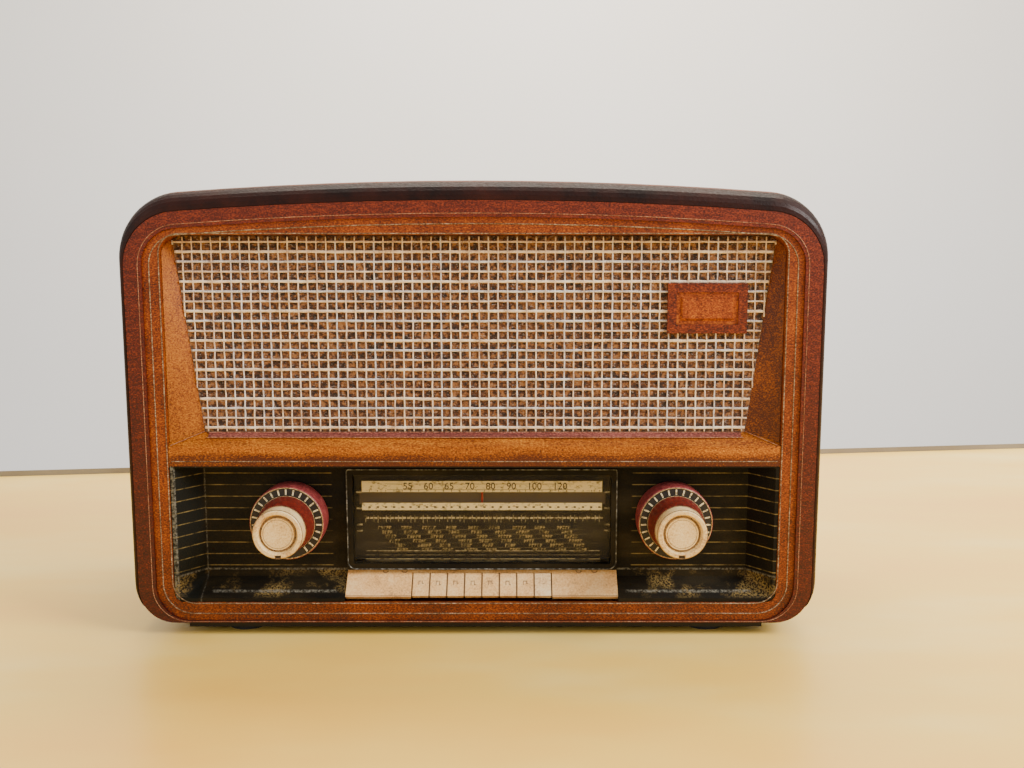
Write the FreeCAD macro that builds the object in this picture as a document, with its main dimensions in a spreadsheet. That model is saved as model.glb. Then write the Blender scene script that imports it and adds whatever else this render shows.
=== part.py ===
"""Tabletop valve radio, as separate pieces that fit and move together.

+X is to the right of someone facing the radio, +Y runs from the front to the back, +Z is up.
The origin is on the table, under the middle of the radio. Depths are counted backwards from
the face, the plane of the front ring.
"""

import FreeCAD, Part
import math
import os

import Sketcher

# ---------------------------------------------------------------- driving dimensions, in mm

DIMENSIONS = [
    ("width", 428, "over the cabinet sides"),
    ("depth", 185, "from the face to the back edge of the cabinet"),
    ("height", 281, "from the table to the crown of the cabinet top"),
    ("base_gap", 8.5, "from the table to the underside of the cabinet"),
    ("shell_wall", 8, "thickness of the moulded plywood"),
    ("crown_radius", 2400, "sweep of the cabinet top"),
    ("shell_corner", 38, "upper corner radius of the cabinet"),
    ("base_corner", 27, "lower corner radius of the cabinet"),
    ("lip_depth", 16, "depth over which the front edge is rounded"),
    ("side_inset", 5, "front ring inside the cabinet side"),
    ("top_inset", 12.5, "front ring below the crown"),
    ("fit", 0.25, "clearance of a piece let into another"),
    ("frame_thick", 14, "thickness of the front ring"),
    ("ring_width", 10.8, "visible width of the mahogany ring"),
    ("ring_top_width", 9.8, "width of the front ring across its top"),
    ("ring_foot", 1, "width of the mahogany ring along the bottom"),
    ("mould_step", 1.5, "moulding behind the face"),
    ("mould_side", 10.7, "width of the moulding at the sides"),
    ("mould_top", 10.5, "width of the moulding along the top"),
    ("mould_foot", 11.8, "width of the moulding along the bottom"),
    ("rail_lip", 3.5, "depth of the lip in front of the keys"),
    ("rail_rebate", 5.2, "rebate behind that lip"),
    ("baffle_thick", 6, "thickness of the baffle board"),
    ("panel_depth", 18, "depth of the control panel's floor behind the face"),
    ("panel_wall", 2, "wall of the control panel"),
    ("panel_slope", 15.5, "run of the control panel's side slopes"),
    ("panel_rise", 11.5, "rise of the control panel's bottom slope"),
    ("panel_height", 86.4, "height of the control panel opening"),
    ("ledge_height", 12.4, "height of the ledge's front"),
    ("ledge_back", 19.5, "height of the ledge at the cloth"),
    ("cloth_set", 12, "cloth behind the face"),
    ("cloth_thick", 2, "thickness of the stretched cloth and its board"),
    ("cloth_top_inset", 4, "cloth inside the moulding at the top"),
    ("cloth_low_inset", 20, "cloth inside the moulding at the ledge"),
    ("badge_x", 142, "centre of the badge"),
    ("badge_z", 204, "centre of the badge"),
    ("badge_wide", 48.5, "width of the badge"),
    ("badge_high", 30.4, "height of the badge"),
    ("badge_rim", 5.4, "border of the badge"),
    ("dial_wide", 171, "width over the dial bezel"),
    ("dial_low", 38, "underside of the dial bezel"),
    ("dial_high", 65.5, "height of the dial bezel"),
    ("dial_rim", 4, "width of the dial bezel"),
    ("dial_raise", 4, "bezel in front of the panel's floor"),
    ("glass_thick", 3, "thickness of the dial glass"),
    ("key_pitch", 11, "pitch of the keys"),
    ("key_gap", 0.4, "gap between two keys"),
    ("fascia_wide", 171, "width of the key fascia"),
    ("key_plate", 3, "thickness of the fascia and of a key's face"),
    ("pivot_gap", 6.5, "key pivot behind the drive plate"),
    ("pivot_z", 41, "height of the key pivot"),
    ("pivot_rod", 1.5, "radius of the key pivot rod"),
    ("control_shift", 4, "dial, keys and knobs to the right of the cabinet's middle"),
    ("knob_x", 120, "knob axes from the middle of the dial"),
    ("knob_z", 72, "height of the knob axes"),
    ("knob_out", 25, "knob cap in front of the face"),
    ("ring_radius", 23, "radius of the outer knob"),
    ("hub_radius", 17.4, "radius of the inner knob at its back"),
    ("cap_radius", 14.9, "radius of the knob cap"),
    ("spindle_radius", 3, "radius of the control shafts"),
    ("run_gap", 0.3, "clearance between pieces that turn"),
    ("plate_gap", 8, "drive plate behind the dial cord"),
    ("sheet_thick", 1.5, "thickness of the steel sheet"),
    ("cord_gap", 10, "dial cord behind the control panel"),
    ("cord_radius", 0.5, "radius of the dial cord"),
    ("drum_radius", 40.6, "groove radius of the tuning drum"),
    ("drum_gap", 3.2, "drum's groove above the key levers"),
    ("idler_x", 84, "idler pulleys from the middle of the dial"),
    ("idler_drop", 0.1, "idler pulleys' axes below the top of the drum's groove"),
    ("idler_radius", 7, "groove radius of an idler pulley"),
    ("groove_radius", 3.6, "groove radius on the tuning spindle"),
    ("pointer_gap", 1, "pointer behind the control panel"),
    ("chassis_gap", 18.5, "chassis behind the drive plate"),
    ("cover_gap", 13, "chassis in front of the back cover"),
    ("chassis_half", 160, "half the width of the chassis"),
    ("deck_z", 54, "height of the chassis deck"),
    ("speaker_x", -60, "loudspeaker axis"),
    ("speaker_gap", 2.7, "loudspeaker above the pointer's carrier"),
    ("speaker_radius", 50, "radius of the loudspeaker's flange"),
    ("cone_radius", 42, "radius of the loudspeaker's opening"),
    ("back_set", 4, "back cover inside the cabinet's back edge"),
    ("back_thick", 3, "thickness of the back cover"),
    ("plinth_side", 33, "plinth inside the cabinet side"),
    ("plinth_inset", 8, "plinth behind the face"),
    ("plinth_gap", 3, "from the table to the plinth"),
    ("foot_radius", 12.5, "radius of a foot"),
    ("foot_inset", 34, "feet inside the plinth's ends"),
]

KEYS = 8
PLATES = 7


class Size:
    """A length that carries its spreadsheet expression along with its value."""

    def __init__(self, value, text):
        self.value = float(value)
        self.text = text

    def join(self, other, sign, value):
        return Size(value, f"({self.text} {sign} {as_size(other).text})")

    def __add__(self, other):
        return self.join(other, "+", self.value + as_size(other).value)

    def __sub__(self, other):
        return self.join(other, "-", self.value - as_size(other).value)

    def __mul__(self, other):
        return self.join(other, "*", self.value * as_size(other).value)

    def __truediv__(self, other):
        return self.join(other, "/", self.value / as_size(other).value)

    def __radd__(self, other):
        return as_size(other) + self

    def __rsub__(self, other):
        return as_size(other) - self

    def __rmul__(self, other):
        return as_size(other) * self

    def __neg__(self):
        return Size(-self.value, f"(-1 * {self.text})")

    def __float__(self):
        return self.value


def as_size(number):
    return number if isinstance(number, Size) else Size(number, repr(float(number)))


document = FreeCAD.newDocument("tabletop_radio")
sheet = document.addObject("Spreadsheet::Sheet", "dim")
for row, (alias, number, meaning) in enumerate(DIMENSIONS, start=1):
    sheet.set(f"A{row}", alias)
    sheet.set(f"B{row}", str(number))
    sheet.set(f"C{row}", meaning)
    sheet.setAlias(f"B{row}", alias)
document.recompute()


class Sheet:
    """Reads a driving dimension by name, as a Size."""

    def __getattr__(self, alias):
        return Size(sheet.get(alias), f"dim.{alias}")


D = Sheet()
FACE = (D.knob_out - D.depth) / 2
PARTS = []


def at(depth):
    """The row's Y of a depth behind the face."""
    return FACE + depth


# ---------------------------------------------------------------- drawing helpers


def bind(thing, name, size):
    thing.setExpression(name, as_size(size).text)


def piece(label, thing):
    """Marks a finished object as a sub-part."""
    thing.Label = label
    PARTS.append(thing)
    return thing


def around(middle, half):
    """Limits that reach the same way to either side of a place."""
    return middle - half, middle + half


def smaller(first, second):
    """The smaller of two lengths."""
    first, second = as_size(first), as_size(second)
    return Size(min(first.value, second.value), f"min({first.text}; {second.text})")


def box(x, depth, z):
    """A box from pairs of limits along X, in depth and along Z."""
    made = document.addObject("Part::Box", "box")
    for name, (low, high) in zip(("Length", "Width", "Height"), (x, depth, z)):
        bind(made, name, as_size(high) - low)
    bind(made, "Placement.Base.x", x[0])
    bind(made, "Placement.Base.y", at(depth[0]))
    bind(made, "Placement.Base.z", z[0])
    return made


def bar(x, depth, z, radius, length, axis):
    """A cylinder that starts at a point and runs along x, y or z."""
    made = document.addObject("Part::Cylinder", "bar")
    bind(made, "Radius", radius)
    bind(made, "Height", length)
    turn = {"x": ((0, 1, 0), 90), "y": ((1, 0, 0), -90), "z": ((0, 0, 1), 0)}[axis]
    made.Placement.Rotation = FreeCAD.Rotation(FreeCAD.Vector(*turn[0]), turn[1])
    bind(made, "Placement.Base.x", x)
    bind(made, "Placement.Base.y", at(depth))
    bind(made, "Placement.Base.z", z)
    return made


def joined(things):
    if len(things) == 1:
        return things[0]
    made = document.addObject("Part::MultiFuse", "joined")
    made.Shapes = things
    return made


def less(base, *tools):
    made = document.addObject("Part::Cut", "less")
    made.Base = base
    made.Tool = joined(list(tools))
    return made


def group(things):
    made = document.addObject("Part::Compound", "group")
    made.Links = things
    return made


def mirrored(thing):
    made = document.addObject("Part::Mirroring", "mirrored")
    made.Source = thing
    made.Normal = FreeCAD.Vector(1, 0, 0)
    return made


def new_body(label):
    return document.addObject("PartDesign::Body", label)


def new_sketch(body, plane, across=0, up=0, out=0):
    """A sketch on one of a body's planes, moved along its own two axes and its normal."""
    made = body.newObject("Sketcher::SketchObject", "sketch")
    origin = next(f for f in body.Origin.OriginFeatures if f.Role == plane)
    made.AttachmentSupport = (origin, [""])
    made.MapMode = "FlatFace"
    for name, size in zip("xyz", (across, up, out)):
        bind(made, f"AttachmentOffset.Base.{name}", size)
    return made


def fix(sketch, kind, *where):
    """Adds a constraint whose last value is a Size, and binds it."""
    *refs, size = where
    index = sketch.addConstraint(Sketcher.Constraint(kind, *refs, float(size)))
    bind(sketch, f"Constraints[{index}]", size)


def fix_point(sketch, edge, end, across, up):
    """Holds a point at a distance from the sketch's origin."""
    for kind, axis, size in (("DistanceX", -2, across), ("DistanceY", -1, up)):
        if abs(float(size)) < 1e-9:
            sketch.addConstraint(Sketcher.Constraint("PointOnObject", edge, end, axis))
        else:
            fix(sketch, kind, -1, 1, edge, end, as_size(size))


def polygon(sketch, points):
    """A closed outline of straight edges through points of Sizes."""
    spots = [FreeCAD.Vector(float(a), float(b), 0) for a, b in points]
    first = sketch.GeometryCount
    count = len(spots)
    for i, spot in enumerate(spots):
        sketch.addGeometry(Part.LineSegment(spot, spots[(i + 1) % count]), False)
    for i in range(count):
        edge, following = first + i, first + (i + 1) % count
        sketch.addConstraint(Sketcher.Constraint("Coincident", edge, 2, following, 1))
    for i, (across, up) in enumerate(points):
        fix_point(sketch, first + i, 1, across, up)
    return sketch


def circle(sketch, across, up, radius):
    middle = FreeCAD.Vector(float(across), float(up), 0)
    edge = sketch.addGeometry(Part.Circle(middle, FreeCAD.Vector(0, 0, 1), float(radius)), False)
    fix_point(sketch, edge, 3, across, up)
    fix(sketch, "Radius", edge, as_size(radius))
    return sketch


def rounded(sketch, half, low, high, low_corner, high_corner, crown=None):
    """An upright outline, symmetrical about x = 0, with rounded corners and a flat or crowned top."""
    h, z0, z1, r0, r1 = (float(v) for v in (half, low, high, low_corner, high_corner))
    up = FreeCAD.Vector(0, 0, 1)
    lean, spring = math.pi / 2, z1 - r1
    if crown is not None:
        sweep = float(crown)
        spring = z1 - sweep + math.sqrt((sweep - r1) ** 2 - (h - r1) ** 2)
        lean = math.atan2(spring - z1 + sweep, h - r1)
    ends = [(h - r1 + r1 * math.cos(lean), spring + r1 * math.sin(lean))]
    ends.append((-ends[0][0], ends[0][1]))

    def line(a, b):
        return Part.LineSegment(FreeCAD.Vector(*a, 0), FreeCAD.Vector(*b, 0))

    def arc(x, z, r, start, end):
        return Part.ArcOfCircle(Part.Circle(FreeCAD.Vector(x, z, 0), up, r), start, end)

    top = line(*ends) if crown is None else arc(0, z1 - float(crown), float(crown), lean, math.pi - lean)
    edges = [
        line((r0 - h, z0), (h - r0, z0)),
        arc(h - r0, z0 + r0, r0, -math.pi / 2, 0),
        line((h, z0 + r0), (h, spring)),
        arc(h - r1, spring, r1, 0, lean),
        top,
        arc(r1 - h, spring, r1, math.pi - lean, math.pi),
        line((-h, spring), (-h, z0 + r0)),
        arc(r0 - h, z0 + r0, r0, math.pi, 1.5 * math.pi),
    ]
    for edge in edges:
        sketch.addGeometry(edge, False)
    for i in range(len(edges)):
        sketch.addConstraint(Sketcher.Constraint("Tangent", i, 2, (i + 1) % len(edges), 1))
    sketch.addConstraint(Sketcher.Constraint("Horizontal", 0))
    sketch.addConstraint(Sketcher.Constraint("Vertical", 2))
    sketch.addConstraint(Sketcher.Constraint("Vertical", 6))
    for edge, radius in ((1, low_corner), (7, low_corner), (3, high_corner), (5, high_corner)):
        fix(sketch, "Radius", edge, as_size(radius))
    fix(sketch, "DistanceY", -1, 1, 0, 1, as_size(low))
    fix(sketch, "DistanceX", -1, 1, 2, 1, as_size(half))
    fix(sketch, "DistanceX", -1, 1, 6, 1, -as_size(half))
    if crown is None:
        sketch.addConstraint(Sketcher.Constraint("Horizontal", 4))
        fix(sketch, "DistanceY", -1, 1, 4, 1, as_size(high))
    else:
        fix(sketch, "Radius", 4, as_size(crown))
        fix_point(sketch, 4, 3, 0, as_size(high) - crown)
    return sketch


def pad(body, sketch, length):
    """Adds material from the sketch's plane along its normal."""
    made = body.newObject("PartDesign::Pad", "pad")
    made.Profile = sketch
    bind(made, "Length", length)
    return made


def pocket(body, sketch, length):
    """Takes material away from the sketch's plane against its normal."""
    made = body.newObject("PartDesign::Pocket", "pocket")
    made.Profile = sketch
    bind(made, "Length", length)
    return made


def upright(body, depth):
    """A sketch across the radio at a depth: its own axes are X and Z, its normal faces the front."""
    return new_sketch(body, "XZ_Plane", out=-at(depth))


def sideways(body, x=0):
    """A sketch across the radio's width: its own axes are Y and Z, its normal is +X."""
    return new_sketch(body, "YZ_Plane", out=x)


def slab(body, draw, near, far):
    """Pads what draw puts in a sketch, from a near depth to a far one."""
    return pad(body, draw(upright(body, far)), as_size(far) - near)


def hollow(body, draw, near, far):
    """Pockets what draw puts in a sketch, from a near depth to a far one."""
    return pocket(body, draw(upright(body, near)), as_size(far) - near)


def lofted(body, kind, sketches):
    """Adds or takes away the solid that straight lines make between sketches."""
    made = body.newObject(f"PartDesign::{kind}Loft", "loft")
    made.Profile = sketches[0]
    made.Sections = sketches[1:]
    made.Ruled = True
    return made


def rectangle(x, z):
    """Draws a rectangle from pairs of limits along X and Z."""
    return lambda sketch: polygon(sketch, [(x[0], z[0]), (x[1], z[0]), (x[1], z[1]), (x[0], z[1])])


def profile_bar(label, x, points):
    """A bar along X with one section, given as depth and height."""
    body = new_body(label)
    sketch = polygon(sideways(body, x[0]), [(at(depth), z) for depth, z in points])
    pad(body, sketch, as_size(x[1]) - x[0])
    return body


def turned(label, x, z, profile):
    """A turned piece about an axis from front to back, from its profile of depth and radius."""
    body = new_body(label)
    sketch = new_sketch(body, "YZ_Plane", FACE, z, x)
    polygon(sketch, profile)
    made = body.newObject("PartDesign::Revolution", "turn")
    made.Profile = sketch
    made.ReferenceAxis = (sketch, ["H_Axis"])
    made.Angle = 360
    return body


def tube(outer, inner, near, far):
    """The profile of a plain tube."""
    return [(near, inner), (far, inner), (far, outer), (near, outer)]


# ---------------------------------------------------------------- sizes shared by several pieces

SHELL_HALF = D.width / 2
RING_HALF = SHELL_HALF - D.side_inset
RING_TOP = D.height - D.top_inset
RING_LOW = D.base_gap
RING_CORNER = D.shell_corner - D.side_inset
RING_BASE_CORNER = D.base_corner - D.side_inset
MOULD_HALF = RING_HALF - D.ring_width
MOULD_TOP = RING_TOP - D.ring_top_width
MOULD_LOW = RING_LOW + D.ring_foot
OPEN_HALF = MOULD_HALF - D.mould_side
OPEN_TOP = MOULD_TOP - D.mould_top
OPEN_LOW = MOULD_LOW + D.mould_foot
OPEN_CORNER = D.shell_corner - D.side_inset - D.ring_width - D.mould_side
PANEL_TOP = OPEN_LOW + D.panel_height
LEDGE_TOP = PANEL_TOP + D.ledge_height
CLOTH_LOW = PANEL_TOP + D.ledge_back
CLOTH_BACK = D.cloth_set + D.cloth_thick
BAFFLE_BACK = D.frame_thick + D.baffle_thick
PANEL_FRONT = D.mould_step + 0.3
PANEL_BACK = D.panel_depth + D.panel_wall
DIAL_TOP = D.dial_low + D.dial_high
DIAL_HALF = D.dial_wide / 2
KEYS_HALF = KEYS * D.key_pitch / 2 + D.key_gap
FLOOR_Z = D.base_gap + D.shell_wall
INNER_HALF = SHELL_HALF - D.shell_wall
INNER_TOP = D.height - D.shell_wall
INNER_CORNER = D.shell_corner - D.shell_wall
INNER_BASE_CORNER = D.base_corner - D.shell_wall
CORD = PANEL_BACK + D.cord_gap
NEEDLE = PANEL_BACK + D.pointer_gap
PLATE = CORD + D.plate_gap
PLATE_BACK = PLATE + D.sheet_thick
PIVOT = PLATE_BACK + D.pivot_gap
LEVER_TOP = D.pivot_z + 3.2
CHASSIS_FRONT = PLATE_BACK + D.chassis_gap
BACK_FACE = D.depth - D.back_set - D.back_thick
CHASSIS_BACK = BACK_FACE - D.cover_gap
SHAFT_HOLE = D.spindle_radius + D.run_gap
DRUM_Z = LEVER_TOP + D.drum_gap + D.drum_radius
IDLER_Z = DRUM_Z + D.drum_radius - D.idler_drop
RUN_Z = IDLER_Z + D.idler_radius + D.run_gap + D.cord_radius
CARRIER_TOP = RUN_Z + 8
SPEAKER_Z = CARRIER_TOP + D.speaker_gap + D.speaker_radius
PLINTH_HALF = SHELL_HALF - D.plinth_side
FOOT_X = PLINTH_HALF - D.foot_inset
SLEEVE_RADIUS = SHAFT_HOLE + 1.2
DIAL_X = D.control_shift
VOLUME_X = DIAL_X - D.knob_x
TUNING_X = DIAL_X + D.knob_x
CONTROLS = (("volume", VOLUME_X), ("tuning", TUNING_X))
SOCKET_X = D.chassis_half * 0.6
SOCKET_Z = (FLOOR_Z + D.deck_z) / 2
SCREW_RADIUS = 1.7
CLEAT = 18
CLEATS = [
    (side * (INNER_HALF - CLEAT / 2), z)
    for side in (-1, 1)
    for z in (FLOOR_Z + INNER_BASE_CORNER + CLEAT / 2 + 2, INNER_TOP - INNER_CORNER - CLEAT)
]


# ---------------------------------------------------------------- cabinet


def shell_outline(sketch, inset=0.0):
    """The cabinet's outline, drawn in by a share of the front ring's inset."""
    return rounded(
        sketch,
        SHELL_HALF - (D.side_inset - 0.6) * inset,
        D.base_gap,
        D.height - (D.top_inset - 0.6) * inset,
        D.base_corner - (D.side_inset - 0.6) * inset,
        D.shell_corner - (D.side_inset - 0.6) * inset,
        D.crown_radius,
    )


def ring_outline(sketch, grow=0.0):
    return rounded(
        sketch,
        RING_HALF + grow,
        RING_LOW - grow,
        RING_TOP + grow,
        RING_BASE_CORNER + grow,
        RING_CORNER + grow,
        D.crown_radius,
    )


def inner_outline(sketch, gap=0.0):
    return rounded(
        sketch,
        INNER_HALF - gap,
        FLOOR_Z + gap,
        INNER_TOP - gap,
        INNER_BASE_CORNER - gap,
        INNER_CORNER - gap,
        D.crown_radius,
    )


def cabinet_shell():
    """Wrap-around moulded plywood, its front edge rounded in to the front ring."""
    body = new_body("cabinet_shell")
    sections = []
    for step in range(8):
        turn = math.radians(90 * step / 7)
        sections.append(shell_outline(upright(body, D.lip_depth * (1 - math.cos(turn))), 1 - math.sin(turn)))
    lofted(body, "Additive", sections)
    slab(body, shell_outline, D.lip_depth, D.depth)
    hollow(body, inner_outline, D.frame_thick, D.depth + 1)
    hollow(body, lambda s: rounded(
        s, RING_HALF + D.fit, RING_LOW - 2, RING_TOP + D.fit,
        RING_BASE_CORNER, RING_CORNER, D.crown_radius), -1, D.frame_thick)
    return piece("cabinet_shell", body)


def front_ring():
    """Mahogany ring set in the rounded edge of the cabinet."""
    body = new_body("front_ring")
    slab(body, ring_outline, 0, D.frame_thick)
    hollow(body, lambda s: moulding_outline(s, D.fit / 5), -1, D.frame_thick + 1)
    return piece("front_ring", body)


def moulding_outline(sketch, grow=0.0):
    return rounded(
        sketch,
        MOULD_HALF + grow,
        MOULD_LOW - grow,
        MOULD_TOP + grow,
        RING_BASE_CORNER + grow,
        RING_CORNER - D.ring_width + grow,
        D.crown_radius,
    )


def front_moulding():
    """Honey-coloured moulding with two scribed grooves round the opening."""
    body = new_body("front_moulding")
    slab(body, moulding_outline, D.mould_step, D.frame_thick)

    def opening(sketch, grow=0.0):
        return rounded(sketch, OPEN_HALF + grow, OPEN_LOW - grow, OPEN_TOP + grow,
                       OPEN_CORNER / 2 + grow, OPEN_CORNER + grow)

    hollow(body, opening, 0, D.frame_thick + 1)
    lip = rectangle(around(DIAL_X, D.fascia_wide / 2 + 2), (OPEN_LOW - D.rail_rebate, OPEN_LOW + 1))
    hollow(body, lip, D.rail_lip, D.frame_thick + 1)
    return piece("front_moulding", body)


def ledge_profile():
    return [
        (D.mould_step, PANEL_TOP),
        (D.frame_thick, PANEL_TOP),
        (D.frame_thick, CLOTH_LOW),
        (D.cloth_set, CLOTH_LOW),
        (D.mould_step, LEDGE_TOP),
    ]


def ledge_rail():
    """Shelf rail between the cloth and the control panel."""
    half = OPEN_HALF - D.fit
    return piece("ledge_rail", profile_bar("ledge_rail", (-half, half), ledge_profile()))


def on_slope(share, off):
    """A point on the ledge's sloping top, by its share of the slope from the front, lifted off it."""
    run = D.cloth_set - D.mould_step
    rise = CLOTH_LOW - LEDGE_TOP
    return D.mould_step + run * share - off * 0.56, LEDGE_TOP + rise * share + off * 0.83


def ledge_strip():
    """Thin maroon strip laid on the upper half of the ledge's slope."""
    half = OPEN_HALF - D.cloth_low_inset - 3
    points = [on_slope(0.55, 0), on_slope(0.93, 0), on_slope(0.93, 0.7), on_slope(0.55, 0.7)]
    return piece("ledge_strip", profile_bar("ledge_strip", (-half, half), points))


def corner_waste():
    """What lies outside the moulding's rounded upper right corner, to cut off the pieces behind it."""
    x, z = OPEN_HALF - OPEN_CORNER, OPEN_TOP - OPEN_CORNER
    square = box((x, OPEN_HALF + 1), (0, BAFFLE_BACK), (z, OPEN_TOP + 1))
    keep = bar(x, -1, z, OPEN_CORNER - D.fit, BAFFLE_BACK + 2, "y")
    return less(square, keep)


def grille_wings(ledge, waste):
    """Sloping cheeks either side of the cloth, standing on the ledge."""
    body = new_body("wing")

    def section(z, inset):
        inner, outer = OPEN_HALF - inset, OPEN_HALF - D.fit
        return polygon(new_sketch(body, "XY_Plane", out=z), [
            (inner, at(D.cloth_set)), (outer, at(D.mould_step + 3)),
            (outer, at(CLOTH_BACK)), (inner, at(CLOTH_BACK))])

    slant = (D.cloth_low_inset - D.cloth_top_inset) / (OPEN_TOP - CLOTH_LOW)
    low_inset = D.cloth_low_inset + slant * (CLOTH_LOW - PANEL_TOP)
    lofted(body, "Additive", [section(PANEL_TOP, low_inset), section(OPEN_TOP - D.fit, D.cloth_top_inset)])
    wing = less(body, ledge, waste)
    return piece("grille_wings", group([wing, mirrored(wing)]))


def grille_cloth(waste):
    """Stretched grille cloth on its thin board, between the wings."""
    body = new_body("cloth")
    low, high = OPEN_HALF - D.cloth_low_inset, OPEN_HALF - D.cloth_top_inset
    top = OPEN_TOP - D.fit

    def outline(sketch):
        return polygon(sketch, [(-low, CLOTH_LOW), (low, CLOTH_LOW), (high, top), (-high, top)])

    slab(body, outline, D.cloth_set, CLOTH_BACK)
    return piece("grille_cloth", less(body, waste, mirrored(waste)))


def badge():
    """Blank name badge: a maroon frame round a plain ochre plate."""
    x = (D.badge_x - D.badge_wide / 2, D.badge_x + D.badge_wide / 2)
    z = (D.badge_z - D.badge_high / 2, D.badge_z + D.badge_high / 2)
    inner_x = (x[0] + D.badge_rim, x[1] - D.badge_rim)
    inner_z = (z[0] + D.badge_rim, z[1] - D.badge_rim)
    frame = less(box(x, (D.cloth_set - 3, D.cloth_set), z),
                 box(inner_x, (D.cloth_set - 4, D.cloth_set + 1), inner_z))
    piece("badge_frame", frame)
    piece("badge_plate", box(inner_x, (D.cloth_set - 2, D.cloth_set), inner_z))


def baffle_board():
    """Plywood baffle with the loudspeaker hole, cut away behind the control panel."""
    body = new_body("baffle_board")
    slab(body, lambda s: inner_outline(s, D.fit), D.frame_thick, BAFFLE_BACK)
    near, margin = D.frame_thick - 1, (D.ledge_back - D.ledge_height) / 2
    share = (near - PANEL_FRONT) / (PANEL_BACK - PANEL_FRONT)
    half = OPEN_HALF - (D.panel_slope - D.panel_wall) * share + 1
    hollow(body, rectangle((-half, half), (0, PANEL_TOP + margin)), near, BAFFLE_BACK + 1)

    def speaker_hole(sketch):
        return circle(sketch, D.speaker_x, SPEAKER_Z, D.cone_radius)

    hollow(body, speaker_hole, near, BAFFLE_BACK + 1)
    return piece("baffle_board", body)


def plinth_and_feet():
    """Plinth frame glued under the cabinet, with four rubber feet let into it."""
    band, back = 30, D.depth - 12
    inner_half = PLINTH_HALF - band
    outer = box((-PLINTH_HALF, PLINTH_HALF), (D.plinth_inset, back), (D.plinth_gap, D.base_gap))
    inner = box((-inner_half, inner_half), (D.plinth_inset + band, back - band), (0, D.base_gap + 1))
    feet, sockets = [], []
    for x in (-FOOT_X, FOOT_X):
        for depth in (D.plinth_inset + band / 2, back - band / 2):
            feet.append(bar(x, depth, 0, D.foot_radius, D.plinth_gap + 2, "z"))
            sockets.append(bar(x, depth, 0, D.foot_radius + D.fit / 5, D.plinth_gap + 2, "z"))
    piece("plinth", less(outer, inner, *sockets))
    piece("feet", group(feet))


def back_cover():
    """Hardboard back with ventilation slots, two cut-outs and screw holes."""
    body = new_body("back_cover")
    slab(body, lambda s: inner_outline(s, D.fit * 2), BACK_FACE, BACK_FACE + D.back_thick)

    def cut(draw):
        hollow(body, draw, BACK_FACE - 1, BACK_FACE + D.back_thick + 1)

    def slots(z):
        def draw(sketch):
            for i in range(9):
                x = D.width / 15 * (i - 4)
                rectangle((x - 9, x + 9), (z - 2.2, z + 2.2))(sketch)
            return sketch
        return draw

    for row in range(4):
        cut(slots(D.deck_z + 46 + 22 * as_size(row)))
    cut(slots(D.deck_z + 172))
    cut(rectangle((-SOCKET_X - 34, 34 - SOCKET_X), (SOCKET_Z - 12, SOCKET_Z + 12)))
    cut(rectangle((SOCKET_X - 24, SOCKET_X + 24), (SOCKET_Z - 15, SOCKET_Z + 15)))

    def screw_holes(sketch):
        for x, z in CLEATS:
            circle(sketch, x, z, SCREW_RADIUS + 0.3)
        return sketch

    cut(screw_holes)
    return piece("back_cover", body)


def cover_screw(x, z):
    """A countersunk wood screw through the cover, with a driver slot in its raised head."""
    shank = bar(x, BACK_FACE - 12, z, SCREW_RADIUS, D.back_thick + 12.5, "y")
    head = document.addObject("Part::Cone", "head")
    bind(head, "Radius1", 4.2)
    bind(head, "Radius2", 2.4)
    bind(head, "Height", 2.4)
    head.Placement.Rotation = FreeCAD.Rotation(FreeCAD.Vector(1, 0, 0), -90)
    cover = BACK_FACE + D.back_thick
    bind(head, "Placement.Base.x", x)
    bind(head, "Placement.Base.y", at(cover))
    bind(head, "Placement.Base.z", z)
    slot = box((x - 3.6, x + 3.6), (cover + 1.3, cover + 3), (z - 0.5, z + 0.5))
    return less(joined([shank, head]), slot)


def cleats_and_screws():
    """Corner blocks that take the back cover's screws, and the four screws."""
    blocks, screws = [], []
    half = CLEAT / 2
    for x, z in CLEATS:
        block = box((x - half, x + half), (BACK_FACE - 22, BACK_FACE), (z - half, z + half))
        blocks.append(less(block, bar(x, BACK_FACE - 16, z, SCREW_RADIUS, as_size(17), "y")))
        screws.append(cover_screw(x, z))
    piece("corner_cleats", group(blocks))
    piece("cover_screws", group(screws))


# ---------------------------------------------------------------- control panel and keys

KEY_FACE_LOW = (D.rail_lip + 0.6, OPEN_LOW + 2.6)


def panel_outline(sketch, back, wall):
    """The control panel's outline at its front or back, with or without its wall."""
    half = OPEN_HALF - D.fit if not back else OPEN_HALF - D.panel_slope + D.panel_wall
    low = OPEN_LOW + D.fit if not back else OPEN_LOW + D.panel_rise - D.panel_wall
    corner = OPEN_CORNER / 2 if not back else as_size(3)
    return rounded(sketch, half - wall, low + wall, PANEL_TOP - wall * 0.5, corner, as_size(1.2))


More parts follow.
